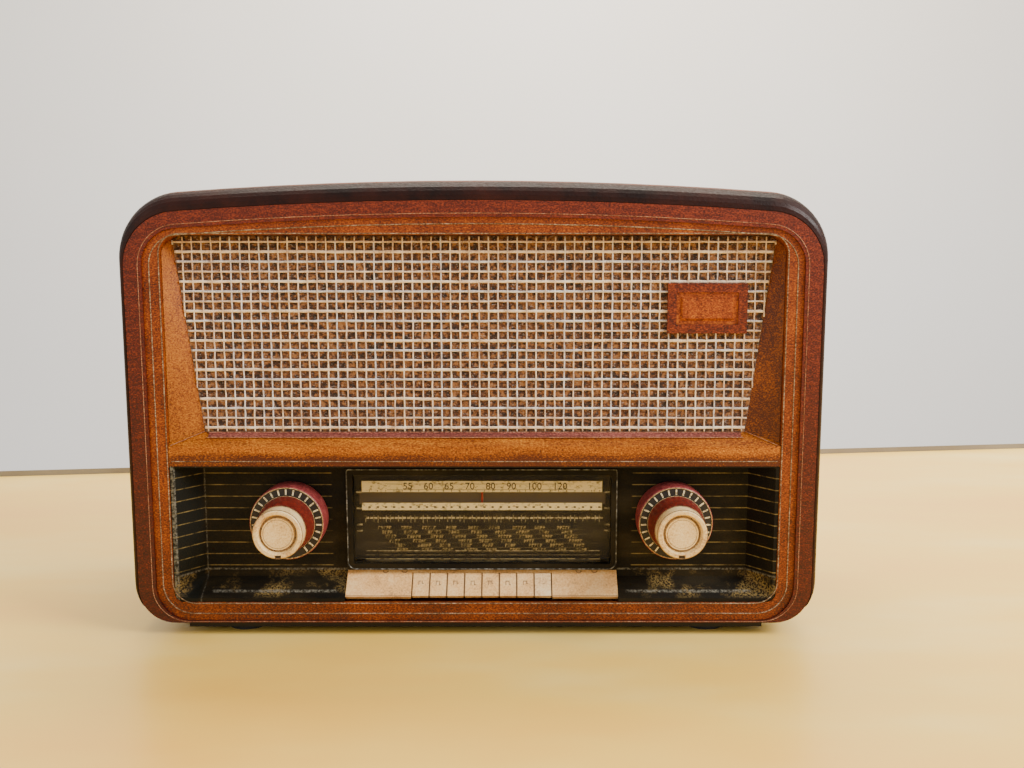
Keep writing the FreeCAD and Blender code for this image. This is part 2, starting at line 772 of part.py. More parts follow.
def control_panel():
    """Dark moulded panel: sloping cheeks, a flat floor, the raised dial bezel and the key slot."""
    body = new_body("control_panel")
    front, bezel, rim = PANEL_FRONT, D.panel_depth - D.dial_raise, D.dial_rim
    lofted(body, "Additive", [panel_outline(upright(body, front), False, as_size(0)),
                              panel_outline(upright(body, PANEL_BACK), True, as_size(0))])
    lofted(body, "Subtractive", [panel_outline(upright(body, front - 0.2), False, D.panel_wall),
                                 panel_outline(upright(body, D.panel_depth), True, D.panel_wall)])
    slab(body, rectangle(around(DIAL_X, DIAL_HALF), (D.dial_low, DIAL_TOP)), bezel, PANEL_BACK)
    window = rectangle(around(DIAL_X, DIAL_HALF - rim), (D.dial_low + rim, DIAL_TOP - rim))
    hollow(body, window, 0, PANEL_BACK + 1)
    slot = rectangle(around(DIAL_X, D.fascia_wide / 2), (OPEN_LOW - 2, D.dial_low))
    hollow(body, slot, 0, PANEL_BACK + 1)

    def shafts(sketch):
        for name, x in CONTROLS:
            circle(sketch, x, D.knob_z, SLEEVE_RADIUS + D.run_gap)
        return sketch

    hollow(body, shafts, 0, PANEL_BACK + 1)
    return piece("control_panel", body)


def dial_glass():
    """Flat glass let into the bezel."""
    rim, front = D.dial_rim, D.panel_depth - D.dial_raise + 1
    z = (D.dial_low + rim, DIAL_TOP - rim)
    return piece("dial_glass", box(around(DIAL_X, DIAL_HALF - rim), (front, front + D.glass_thick), z))


def dial_backplate():
    """Printed scale plate behind the glass and below the pulleys, its ends bent back to the drive plate."""
    front, low = NEEDLE + 3, D.dial_low + D.dial_rim
    high = smaller(DIAL_TOP + 8, IDLER_Z - D.idler_radius - 3)
    half, thick = DIAL_HALF + 1, 1.2
    plate = box(around(DIAL_X, half), (front, front + 1), (low, high))
    ends = ((DIAL_X - half, DIAL_X - half + thick), (DIAL_X + half - thick, DIAL_X + half))
    tabs = [box(x, (front, PLATE), (high - 26, high - 4)) for x in ends]
    return piece("dial_backplate", joined([plate, *tabs]))


def slope_point(depth_share, off):
    """A point on the bottom slope's face, by its share from the front, set back square to the slope."""
    x0, z0 = KEY_FACE_LOW
    run, rise = D.panel_depth - x0, D.dial_low - 0.6 - z0
    return x0 + run * depth_share + off * 0.68, z0 + rise * depth_share - off * 0.73


def key_fascia():
    """Cream fascia on the bottom slope, with one opening for all the keys."""
    x = around(DIAL_X, D.fascia_wide / 2)
    points = [slope_point(0, 0), slope_point(1, 0), slope_point(1, D.key_plate), slope_point(0, D.key_plate)]
    whole = profile_bar("fascia_bar", x, points)
    hole_points = [slope_point(-0.3, -3), slope_point(0.86, -3), slope_point(0.86, D.key_plate + 4),
                   slope_point(-0.3, D.key_plate + 4)]
    hole = profile_bar("fascia_hole", around(DIAL_X, KEYS_HALF), hole_points)
    return piece("key_fascia", less(whole, hole))


def keys():
    """Eight piano keys, each moulded in one with the lever that turns on the common rod."""
    reach, height = PIVOT, D.pivot_z
    for number in range(KEYS):
        left = DIAL_X + D.key_pitch * (number - KEYS / 2) + D.key_gap / 2
        right = left + D.key_pitch - D.key_gap
        points = [
            slope_point(0.02, -0.4), slope_point(0.83, -0.4), slope_point(0.83, D.key_plate),
            (reach - 5, height - 4.5), (reach - 4, LEVER_TOP), (reach + 3.6, LEVER_TOP),
            (reach + 3.6, height - 3), (reach + 2, height - 6), (reach + 2, height - 20),
            (reach - 2, height - 20), (reach - 2, height - 8), (reach - 26, height - 11.5),
            slope_point(0.12, D.key_plate), slope_point(0.02, D.key_plate - 0.8),
        ]
        lever = profile_bar(f"key_blank_{number + 1}", (left, right), points)
        bore = bar(left - 1, reach, height, D.pivot_rod + D.fit / 5, D.key_pitch + 2, "x")
        piece(f"key_{number + 1}", less(lever, bore))


def key_frame():
    """Bent steel frame of the key unit, standing on the cabinet floor, with the pivot rod pressed in."""
    inner, sheet_wall = KEYS_HALF + 0.6, D.sheet_thick
    left, right = around(DIAL_X, inner)
    front, back = PIVOT - 7, CHASSIS_FRONT
    floor = box(around(DIAL_X, inner + sheet_wall), (front, back), (FLOOR_Z, FLOOR_Z + sheet_wall))
    sides = ((left - sheet_wall, left), (right, right + sheet_wall))
    cheeks = [box(x, (front, back), (FLOOR_Z, D.pivot_z + 5)) for x in sides]
    start, length = left - sheet_wall - 2, 2 * (inner + sheet_wall + 2)
    hole = bar(start, PIVOT, D.pivot_z, D.pivot_rod, length, "x")
    rod = bar(start, PIVOT, D.pivot_z, D.pivot_rod, length, "x")
    return piece("key_frame", group([less(joined([floor, *cheeks]), hole), rod]))


# ---------------------------------------------------------------- knobs and controls

RING_FRONT = 0.5
POT_RADIUS = as_size(14)


def outer_knobs():
    """Maroon ring knobs with their scale discs; their hubs reach back into the potentiometers."""
    for (name, x), label in zip(CONTROLS, ("bass", "treble")):
        back = D.panel_depth - 0.5
        hub_end = PANEL_BACK + 5
        bore = D.hub_radius - 3
        ring = [
            (RING_FRONT + 1.2, D.ring_radius - 5.6), (RING_FRONT + 1.2, D.ring_radius - 0.6),
            (RING_FRONT, D.ring_radius - 0.6), (RING_FRONT + 0.6, D.ring_radius),
            (back - 1, D.ring_radius), (back, D.ring_radius - 1), (back, SLEEVE_RADIUS),
            (hub_end, SLEEVE_RADIUS), (hub_end, SHAFT_HOLE), (RING_FRONT + 8, SHAFT_HOLE),
            (RING_FRONT + 8, bore), (RING_FRONT + 1.2, bore),
        ]
        piece(f"{label}_ring", turned(f"{label}_ring", x, D.knob_z, ring))
        scale = tube(D.ring_radius - 0.8, D.ring_radius - 5.6, RING_FRONT, RING_FRONT + 1.2)
        piece(f"{label}_scale", turned(f"{label}_scale", x, D.knob_z, scale))


def inner_knobs():
    """Inner knobs: a red body, a cream cap with an index notch, and the shaft."""
    for name, x in CONTROLS:
        tip, cap_back = -D.knob_out, 10 - D.knob_out
        bore = D.spindle_radius + 0.01
        body_profile = [
            (cap_back, bore), (as_size(RING_FRONT - 0.4), bore), (as_size(RING_FRONT - 0.4), D.hub_radius),
            (cap_back, D.cap_radius + 0.9),
        ]
        piece(f"{name}_knob", turned(f"{name}_knob", x, D.knob_z, body_profile))
        cap = [
            (tip + 1.6, 0), (tip + 1.6, D.cap_radius - 5.2), (tip + 2.6, D.cap_radius - 5),
            (tip + 2.6, D.cap_radius - 3.8), (tip, D.cap_radius - 2.6), (tip, D.cap_radius - 0.8),
            (tip + 1, D.cap_radius), (cap_back, D.cap_radius), (cap_back, bore),
            (tip + 4, bore), (tip + 4, 0),
        ]
        blank = turned(f"{name}_cap_blank", x, D.knob_z, cap)
        low = D.knob_z - D.cap_radius
        notch = box((x - 2, x + 2), (tip - 1, tip + 1.4), (low - 1, low + 2.4))
        piece(f"{name}_cap", less(blank, notch))


def shafts_and_pots():
    """The volume shaft with its double potentiometer, and the tuning spindle with the treble one."""
    tip, end, radius = 4 - D.knob_out, PLATE - 3, D.spindle_radius
    shaft = [(tip, 0), (end, 0), (end, radius), (tip, radius)]
    piece("volume_shaft", turned("volume_shaft", VOLUME_X, D.knob_z, shaft))
    cord, groove = CORD, D.groove_radius
    spindle = [
        (tip, 0), (PLATE_BACK + 4, 0), (PLATE_BACK + 4, radius),
        (cord + 2.5, radius), (cord + 2.5, groove + 2),
        (cord + 1, groove), (cord - 1, groove), (cord - 2.5, groove + 2), (cord - 2.5, radius), (tip, radius),
    ]
    piece("tuning_spindle", turned("tuning_spindle", TUNING_X, D.knob_z, spindle))
    hole, near, step = SLEEVE_RADIUS + D.run_gap, PANEL_BACK + 3, PANEL_BACK + 10
    volume_pot = [
        (near, hole), (step, hole), (step, SHAFT_HOLE), (PLATE, SHAFT_HOLE),
        (PLATE, POT_RADIUS), (near, POT_RADIUS),
    ]
    piece("volume_pot", turned("volume_pot", VOLUME_X, D.knob_z, volume_pot))
    treble_pot = tube(POT_RADIUS, hole, PANEL_BACK, PANEL_BACK + 6)
    piece("treble_pot", turned("treble_pot", TUNING_X, D.knob_z, treble_pot))


# ---------------------------------------------------------------- tuning drive


AXLE_RADIUS = as_size(4)
STUD_RADIUS = as_size(1.75)
RAIL_RADIUS = as_size(1.5)
RAIL_Z = RUN_Z + 5


def cord_circles():
    """Centres and radii of the dial cord's path over drum, idlers and spindle, anticlockwise."""
    lift = float(D.run_gap + D.cord_radius)
    return [
        (float(DIAL_X), float(DRUM_Z), float(D.drum_radius) + lift),
        (float(TUNING_X), float(D.knob_z), float(D.groove_radius) + lift),
        (float(DIAL_X + D.idler_x), float(IDLER_Z), float(D.idler_radius) + lift),
        (float(DIAL_X - D.idler_x), float(IDLER_Z), float(D.idler_radius) + lift),
    ]


def tangent(a, b):
    """The two ends of the outer tangent from circle a to circle b, both passed anticlockwise."""
    dx, dz = b[0] - a[0], b[1] - a[1]
    lean = math.atan2(dz, dx) - math.pi / 2 + math.asin((b[2] - a[2]) / math.hypot(dx, dz)) * -1
    return [(c[0] + c[2] * math.cos(lean), c[1] + c[2] * math.sin(lean)) for c in (a, b)]


def dial_cord():
    """Endless dial cord in one plane: straight runs and the arcs where it wraps a pulley."""
    circles = cord_circles()
    depth = float(at(CORD))

    def spot(x, z):
        return FreeCAD.Vector(x, depth, z)

    runs = [tangent(c, circles[(i + 1) % 4]) for i, c in enumerate(circles)]
    edges = []
    for i, c in enumerate(circles):
        start, end = runs[i - 1][1], runs[i][0]
        a = math.atan2(start[1] - c[1], start[0] - c[0])
        b = math.atan2(end[1] - c[1], end[0] - c[0])
        middle = a + ((b - a) % (2 * math.pi)) / 2
        top = spot(c[0] + c[2] * math.cos(middle), c[1] + c[2] * math.sin(middle))
        edges.append(Part.Arc(spot(*start), top, spot(*end)).toShape())
        edges.append(Part.LineSegment(spot(*runs[i][0]), spot(*runs[i][1])).toShape())
    path = Part.Wire(edges)
    start = edges[1].Vertexes[0].Point
    direction = edges[1].tangentAt(edges[1].FirstParameter)
    section = Part.Wire([Part.Circle(start, direction, float(D.cord_radius)).toShape()])
    path = Part.Wire(edges[1:] + edges[:1])
    cord = document.addObject("Part::Feature", "dial_cord")
    cord.Shape = path.makePipeShell([section], True, True)
    wanted = math.pi * float(D.cord_radius) ** 2 * path.Length
    print("dial cord length", round(path.Length, 1), "volume share", round(cord.Shape.Volume / wanted, 4))
    return piece("dial_cord", cord)


def tuning_drum():
    """Aluminium drum with a grooved rim, on the gang's shaft."""
    middle, groove = CORD, D.drum_radius
    edge, hub = groove - 4, AXLE_RADIUS + 5
    half = [(3, AXLE_RADIUS), (3, hub), (1, hub), (1, edge), (2.6, edge), (2.6, groove + 1.6), (1, groove)]
    profile = [(middle + off, radius) for off, radius in half]
    profile += [(middle - off, radius) for off, radius in reversed(half)]
    return piece("tuning_drum", turned("tuning_drum", DIAL_X, DRUM_Z, profile))


def gang():
    """Tuning capacitor: half-round rotor plates on a shaft, and the frame with the stator plates."""
    front, pitch, thin, swing, deep = CHASSIS_FRONT + 8, 5, 1.2, 24, 42
    x, top, foot = around(DIAL_X, swing + 3), DRUM_Z + swing + 4, D.deck_z
    start = CORD - 4
    moving, fixed = [bar(DIAL_X, start, DRUM_Z, AXLE_RADIUS, front + 46 - start, "y")], []
    for i in range(PLATES):
        near = front + 5 + i * pitch
        upper = box(x, (near - 1, near + thin + 1), (DRUM_Z, top))
        moving.append(less(bar(DIAL_X, near, DRUM_Z, swing, as_size(thin), "y"), upper))
        if i:
            between = near - pitch / 2
            vane = box(x, (between, between + thin), (DRUM_Z + 1, top))
            hole = bar(DIAL_X, between - 1, DRUM_Z, AXLE_RADIUS + 3, as_size(thin + 2), "y")
            fixed.append(less(vane, hole))
    piece("gang_rotor", joined(moving))
    ends = [box(x, (near, near + 2), (foot, top + 2)) for near in (front, front + deep - 2)]
    sole = box(x, (front, front + deep), (foot, foot + 2))
    hole = bar(DIAL_X, front - 1, DRUM_Z, AXLE_RADIUS + D.run_gap, as_size(deep + 2), "y")
    edges = ((x[0] - 2, x[0]), (x[1], x[1] + 2))
    sides = [box(edge, (front, front + deep), (top - 22, top)) for edge in edges]
    piece("gang_frame", joined([less(joined([*ends, sole]), hole), *sides, *fixed]))


def idlers():
    """Two grooved idler pulleys on studs of the drive plate."""
    middle, groove = CORD, D.idler_radius
    half = [(2.5, STUD_RADIUS + 0.05), (2.5, groove + 2), (1, groove)]
    profile = [(middle + off, radius) for off, radius in half]
    profile += [(middle - off, radius) for off, radius in reversed(half)]
    for side, x in (("left", DIAL_X - D.idler_x), ("right", DIAL_X + D.idler_x)):
        piece(f"idler_{side}", turned(f"idler_{side}", x, IDLER_Z, profile))


def drive_plate():
    """Bent steel plate that carries the drive, with the pointer's rail and the idler studs."""
    left, right = around(DIAL_X, D.knob_x + 26)
    sheet_wall = D.sheet_thick
    plate = box((left, right), (PLATE, PLATE_BACK), (D.pivot_z + 7, RUN_Z + 12))
    cheeks = ((left, left + sheet_wall), (right - sheet_wall, right))
    sides = [box(x, (PLATE, CHASSIS_FRONT), (FLOOR_Z + 6, RUN_Z - 30)) for x in cheeks]
    reach, near = D.idler_x + 14, CORD - 4
    ears = [box(around(x, 1), (near, PLATE), (RUN_Z + 1.5, RUN_Z + 9)) for x in around(DIAL_X, reach)]
    length = PLATE - CORD + 3.5
    studs = [bar(x, CORD - 3, IDLER_Z, STUD_RADIUS, length, "y") for x in around(DIAL_X, D.idler_x)]
    through = sheet_wall + 2
    holes = [
        bar(DIAL_X, PLATE - 1, DRUM_Z, AXLE_RADIUS + D.run_gap, through, "y"),
        bar(TUNING_X, PLATE - 1, D.knob_z, D.spindle_radius + 0.05, through, "y"),
        bar(DIAL_X - reach - 5, CORD, RAIL_Z, RAIL_RADIUS, 2 * reach + 10, "x"),
    ]
    rail = bar(DIAL_X - reach - 1, CORD, RAIL_Z, RAIL_RADIUS, 2 * reach + 2, "x")
    return piece("drive_plate", group([less(joined([plate, *sides, *ears, *studs]), *holes), rail]))


def dial_pointer():
    """Red needle with the carrier that slides on the rail and holds the cord."""
    half = 5
    start, length = DIAL_X - half - 1, as_size(2 * half + 2)
    needle = box(around(DIAL_X, 0.6), (NEEDLE, NEEDLE + 1), (D.dial_low + D.dial_rim + 2, RUN_Z + 2))
    bridge = box(around(DIAL_X, half), (NEEDLE, CORD + 3), (RUN_Z - 2.4, CARRIER_TOP))
    rail = bar(start, CORD, RAIL_Z, RAIL_RADIUS + D.run_gap, length, "x")
    cord = bar(start, CORD, RUN_Z, D.cord_radius + D.run_gap, length, "x")
    return piece("dial_pointer", less(joined([needle, bridge]), rail, cord))


def dial_lamps():
    """Two small lamps in their holders, clipped to the drive plate above the scale."""
    made = []
    for x in around(DIAL_X, DIAL_HALF - 16):
        made.append(bar(x, NEEDLE + 5, DIAL_TOP + 14, 3.6, as_size(5), "y"))
        made.append(bar(x, NEEDLE + 10, DIAL_TOP + 14, 5, PLATE - NEEDLE - 10, "y"))
    return piece("dial_lamps", group(made))


# ---------------------------------------------------------------- chassis and loudspeaker


def chassis():
    """Folded steel chassis, open underneath, on the cabinet floor, with its four bolts."""
    x = (-D.chassis_half, D.chassis_half)
    depth = (CHASSIS_FRONT, CHASSIS_BACK)
    t = D.sheet_thick
    outer = box(x, depth, (FLOOR_Z, D.deck_z))
    inner = box((x[0] + t, x[1] - t), (depth[0] + t, depth[1] - t), (FLOOR_Z - 1, D.deck_z - t))
    flanges, holes, bolts = [], [], []
    for side in (-1, 1):
        edge = side * D.chassis_half
        low, high = (edge - 14, edge) if side < 0 else (edge, edge + 14)
        flanges.append(box((low, high), depth, (FLOOR_Z, FLOOR_Z + t)))
        for d in (CHASSIS_FRONT + 16, CHASSIS_BACK - 16):
            where = edge + side * 7
            holes.append(bar(where, d, FLOOR_Z - 1, 2.2, t + 2, "z"))
            head = bar(where, d, FLOOR_Z + t, 4, as_size(3), "z")
            bolts.append(joined([head, bar(where, d, FLOOR_Z, 2, t + 1, "z")]))
    openings = [
        box((-SOCKET_X - 30, 30 - SOCKET_X), (depth[1] - 3, depth[1] + 1), (SOCKET_Z - 8, SOCKET_Z + 8)),
        box((SOCKET_X - 17, SOCKET_X + 17), (depth[1] - 3, depth[1] + 1), (SOCKET_Z - 9, SOCKET_Z + 9)),
    ]
    piece("chassis", less(joined([less(outer, inner), *flanges]), *holes, *openings))
    piece("chassis_bolts", group(bolts))


def rear_connectors():
    """Aerial and earth socket strip, and the recessed two-pin mains inlet."""
    wall, near, far = CHASSIS_BACK, CHASSIS_BACK - 6, CHASSIS_BACK + 6
    tongue = box(around(-SOCKET_X, 30 - D.fit), (near, wall), around(SOCKET_Z, 8 - D.fit))
    plate = box(around(-SOCKET_X, 33), (wall, far), around(SOCKET_Z, 11))
    bores = [bar(off - SOCKET_X, near - 1, SOCKET_Z, 2.05, far - near + 2, "y") for off in (-19, 19)]
    piece("rear_sockets", less(joined([tongue, plate]), *bores))
    flange = box(around(SOCKET_X, 22), (wall, far), around(SOCKET_Z, 13))
    block = box(around(SOCKET_X, 17 - D.fit), (near - 10, wall), around(SOCKET_Z, 9 - D.fit))
    recess = box(around(SOCKET_X, 13), (near - 6, far + 1), around(SOCKET_Z, 6))
    pins = [bar(SOCKET_X + off, near - 7, SOCKET_Z, 2, as_size(16), "y") for off in (-6, 6)]
    piece("mains_inlet", joined([less(joined([flange, block]), recess), *pins]))


def transformer(x, depth, wide, deep, tall):
    """A laminated core with its winding showing in front and behind."""
    core = box(around(x, wide / 2), around(depth, deep / 4), (D.deck_z, D.deck_z + tall))
    height = (D.deck_z + tall * 0.18, D.deck_z + tall * 0.82)
    coil = box(around(x, wide / 3.2), around(depth, deep / 2), height)
    return joined([core, coil])


def transformers():
    """The mains transformer, and the smaller output transformer near the loudspeaker."""
    made = [transformer(122, 112, 52, 44, 58), transformer(-128, 88, 34, 26, 34)]
    return piece("transformers", group(made))


def valve(x, depth, radius, tall):
    """A glass valve with a domed top, in its socket on the deck."""
    socket = bar(x, depth, D.deck_z, radius + 1, as_size(8), "z")
    tube_part = bar(x, depth, D.deck_z + 8, radius, as_size(tall - radius - 8), "z")
    dome = document.addObject("Part::Sphere", "dome")
    bind(dome, "Radius", radius)
    bind(dome, "Placement.Base.x", x)
    bind(dome, "Placement.Base.y", at(as_size(depth)))
    bind(dome, "Placement.Base.z", D.deck_z + tall - radius)
    return [socket, joined([tube_part, dome])]


def valves():
    """Five valves in a row along the back of the deck: three large and two small."""
    made = []
    for x, radius, tall in ((-128, 11, 58), (-92, 11, 58), (-56, 9.5, 50), (28, 9.5, 48), (60, 11, 64)):
        made += valve(x, 140, radius, tall)
    return piece("valves", group(made))


def chassis_cans():
    """Two screened transformers and the smoothing capacitor, all in aluminium cans."""
    z = D.deck_z
    made = [box((x - 12, x + 12), (96, 120), (z, z + 46)) for x in (-92, -56)]
    made.append(bar(70, 96, z, 15, as_size(58), "z"))
    return piece("chassis_cans", group(made))


def loudspeaker():
    """Round loudspeaker: pressed basket, paper cone, magnet and four screws."""
    x, z, flange, hole = D.speaker_x, SPEAKER_Z, D.speaker_radius, D.cone_radius
    throat, neck, coil, magnet = 21, 12, 9.5, 24
    front, rear, sheet_wall = BAFFLE_BACK, BAFFLE_BACK + 24, 1.4
    basket = [
        (front, hole), (front, flange), (front + 2, flange), (front + 2, hole + 2.5), (rear, throat),
        (rear, neck), (rear - sheet_wall, neck), (rear - sheet_wall, throat - 1.5), (front + 2, hole),
    ]
    piece("speaker_basket", turned("speaker_basket", x, z, basket))
    cone = [
        (front + 0.4, hole), (front + 1.6, hole), (front + 2, hole - 3), (front + 17, coil + 1.5),
        (front + 21, coil + 1.5), (front + 21, coil), (front + 16.5, coil), (front + 14, 5), (front + 13, 0),
        (front + 11.8, 0), (front + 13, 5.4), (front + 15.3, coil + 0.5), (front + 0.4, hole - 3.4),
    ]
    piece("speaker_cone", turned("speaker_cone", x, z, cone))
    plate, pot_radius = rear + 3, magnet - 4
    block = [
        (rear, 0), (rear, magnet), (plate, magnet),
        (plate, pot_radius), (rear + 18, pot_radius), (rear + 18, 0),
    ]
    piece("speaker_magnet", turned("speaker_magnet", x, z, block))
    spread = (flange + hole + 2.5) / 2 * math.sqrt(0.5)
    places = [(a, b) for a in (-1, 1) for b in (-1, 1)]
    screws = [bar(x + a * spread, front + 2, z + b * spread, 1.6, as_size(2), "y") for a, b in places]
    piece("speaker_screws", group(screws))


# ---------------------------------------------------------------- building and writing


def build():
    cabinet_shell()
    front_ring()
    front_moulding()
    ledge = ledge_rail()
    ledge_strip()
    waste = corner_waste()
    grille_wings(ledge, waste)
    grille_cloth(waste)
    badge()
    baffle_board()
    plinth_and_feet()
    back_cover()
    cleats_and_screws()
    control_panel()
    dial_glass()
    dial_backplate()
    key_fascia()
    keys()
    key_frame()
    outer_knobs()
    inner_knobs()
    shafts_and_pots()
    dial_cord()
    tuning_drum()
    gang()
    idlers()
    drive_plate()
    dial_pointer()
    dial_lamps()
    chassis()
    rear_connectors()
    transformers()
    valves()
    chassis_cans()
    loudspeaker()


def check():
    """Stops unless every object recomputed and every sub-part is a valid shape."""
    faults = [o.Label for o in document.Objects if "Invalid" in o.State or "Error" in o.State]
    faults += [p.Label for p in PARTS if p.Shape.isNull() or not p.Shape.isValid() or not p.Shape.Solids]
    if faults:
        raise SystemExit(f"these did not build: {sorted(set(faults))}")


def write():
    os.makedirs("parts", exist_ok=True)
    for part in PARTS:
        part.Shape.exportStep(os.path.join("parts", f"{part.Label}.step"))
    print(len(PARTS), "sub-parts written")


build()
document.recompute()
check()
write()
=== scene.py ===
"""A wooden valve table radio, finished piece by piece round its measured frame."""

import math
import random

import bmesh
import bpy
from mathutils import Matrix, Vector


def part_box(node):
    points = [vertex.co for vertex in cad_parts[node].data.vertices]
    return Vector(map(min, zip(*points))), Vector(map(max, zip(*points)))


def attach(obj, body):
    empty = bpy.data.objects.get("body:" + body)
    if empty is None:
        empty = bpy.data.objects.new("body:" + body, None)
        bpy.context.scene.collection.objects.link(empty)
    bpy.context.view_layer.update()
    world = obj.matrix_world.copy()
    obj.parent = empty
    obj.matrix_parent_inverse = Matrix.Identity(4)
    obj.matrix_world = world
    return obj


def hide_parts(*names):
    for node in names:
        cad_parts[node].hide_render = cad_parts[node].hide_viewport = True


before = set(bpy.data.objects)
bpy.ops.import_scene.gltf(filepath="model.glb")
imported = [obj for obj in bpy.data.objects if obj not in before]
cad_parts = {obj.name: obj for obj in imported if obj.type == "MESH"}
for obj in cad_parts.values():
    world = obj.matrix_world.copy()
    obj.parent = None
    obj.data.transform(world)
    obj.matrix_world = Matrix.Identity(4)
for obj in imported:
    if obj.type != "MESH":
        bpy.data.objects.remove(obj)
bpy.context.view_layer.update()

# Camera. It stands a little right of the radio's middle, at the height of the upper grille,
# and looks a little downwards.
camera = bpy.data.objects.new("camera", bpy.data.cameras.new("camera"))
camera.location = (0.023, -0.674, 0.236)
camera.rotation_euler = (math.radians(82.6), 0, 0)
camera.data.lens = 34.805
camera.data.sensor_width = 36
bpy.context.scene.collection.objects.link(camera)
bpy.context.scene.camera = camera

# Room light. A big soft window light from the upper right, a weaker fill from the left, a warm
# lamp that washes the far wall, and an even pale sky round them.
world = bpy.data.worlds.new("room")
bpy.context.scene.world = world
world.use_nodes = True
world.node_tree.nodes["Background"].inputs["Color"].default_value = (1, 0.97, 0.93, 1)
world.node_tree.nodes["Background"].inputs["Strength"].default_value = 0.78


def soft_light(name, place, aim, size, power, colour):
    """A square lamp that faces the point it aims at."""
    light = bpy.data.lights.new(name, "AREA")
    light.size, light.energy, light.color = size, power, colour
    holder = bpy.data.objects.new(name, light)
    holder.location = place
    holder.rotation_euler = (Vector(aim) - Vector(place)).to_track_quat("-Z", "Y").to_euler()
    bpy.context.scene.collection.objects.link(holder)


soft_light("window", (1.35, -0.65, 1.15), (0, 0, 0.1), 0.8, 42, (1, 0.98, 0.95))
soft_light("fill", (-1.3, -1.2, 0.9), (0, 0, 0.12), 1.2, 5, (1, 0.93, 0.82))
soft_light("wall_wash", (0.2, 0.9, 2.0), (0.3, 2.6, 0.0), 1.6, 95, (1, 0.90, 0.76))


# Table and wall. A pale laminate table top with faint marbling ends in a narrow dark edge, and a
# matt white wall stands well behind it, so that the back can be seen from between them.
class Finish:
    """A finish being mixed: each call adds a step and gives back what it makes."""

    def __init__(self, name, **sockets):
        self.material = bpy.data.materials.new(name)
        self.material.use_nodes = True
        self.tree = self.material.node_tree
        self.shader = self.tree.nodes["Principled BSDF"]
        self.relief = None
        for socket, value in sockets.items():
            self.shader.inputs[socket.replace("_", " ")].default_value = value

    def add(self, kind, *inputs, out=0, **settings):
        step = self.tree.nodes.new("ShaderNode" + kind)
        for setting, value in settings.items():
            setattr(step, setting, value)
        for socket, value in zip(step.inputs, inputs):
            if isinstance(value, bpy.types.NodeSocket):
                self.tree.links.new(value, socket)
            elif value is not None:
                socket.default_value = value
        return step.outputs[out]

    def place(self, own=False):
        return self.add("TexCoord", out=0 if own else 3)

    def axis(self, letter, own=False):
        return self.add("SeparateXYZ", self.place(own), out="xyz".index(letter))

    def facing(self, letter):
        return self.add("SeparateXYZ", self.add("TexCoord", out=1), out="xyz".index(letter))

    def noise(self, scale, stretch=(1, 1, 1), detail=3.0, roughness=0.6):
        where = self.add("VectorMath", self.place(), stretch, operation="MULTIPLY")
        return self.add("TexNoise", where, None, scale, detail, roughness)

    def calc(self, operation, a, b=0.0, clamp=False):
        return self.add("Math", a, b, operation=operation, use_clamp=clamp)

    def mix(self, a, share_a, b, share_b):
        return self.calc("ADD", self.calc("MULTIPLY", a, share_a), self.calc("MULTIPLY", b, share_b))

    def ramp(self, value, *stops):
        made = self.add("ValToRGB", value)
        elements = made.node.color_ramp.elements
        while len(elements) < len(stops):
            elements.new(0.5)
        for element, (position, colour) in zip(elements, stops):
            element.position, element.color = position, (*colour, 1)
        return made

    def band(self, value, low, high, soft):
        """1 between low and high, fading to 0 over soft at each end."""
        rise = self.add("MapRange", value, low - soft, low, 0.0, 1.0)
        fall = self.add("MapRange", value, high, high + soft, 1.0, 0.0)
        return self.calc("MULTIPLY", rise, fall)

    def blend(self, share, a, b, how="MIX"):
        step = self.tree.nodes.new("ShaderNodeMix")
        step.data_type, step.blend_type, step.clamp_factor = "RGBA", how, True
        for socket, value in zip((step.inputs[0], step.inputs[6], step.inputs[7]), (share, a, b)):
            if isinstance(value, bpy.types.NodeSocket):
                self.tree.links.new(value, socket)
            else:
                socket.default_value = value if isinstance(value, float) else (*value, 1)
        return step.outputs[2]

    def colour(self, value):
        self.tree.links.new(value, self.shader.inputs["Base Color"])

    def rough(self, value, low, high):
        spread = self.add("MapRange", value, 0.25, 0.75, low, high)
        self.tree.links.new(spread, self.shader.inputs["Roughness"])

    def bump(self, height, distance, strength=1.0):
        step = self.tree.nodes.new("ShaderNodeBump")
        step.inputs["Distance"].default_value = distance
        step.inputs["Strength"].default_value = strength
        self.tree.links.new(height, step.inputs["Height"])
        if self.relief:
            self.tree.links.new(self.relief, step.inputs["Normal"])
        self.relief = step.outputs[0]
        self.tree.links.new(self.relief, self.shader.inputs["Normal"])

    def coat(self, *nodes):
        """Gives this finish to pieces of the frame."""
        for name in nodes:
            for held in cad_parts[name].material_slots:
                held.material = self.material


def sheet_of(name, corners, finish):
    """A flat four-cornered piece of the stage."""
    mesh = bpy.data.meshes.new(name)
    mesh.from_pydata(corners, [], [(0, 1, 2, 3)])
    mesh.materials.append(finish.material)
    made = bpy.data.objects.new(name, mesh)
    bpy.context.scene.collection.objects.link(made)


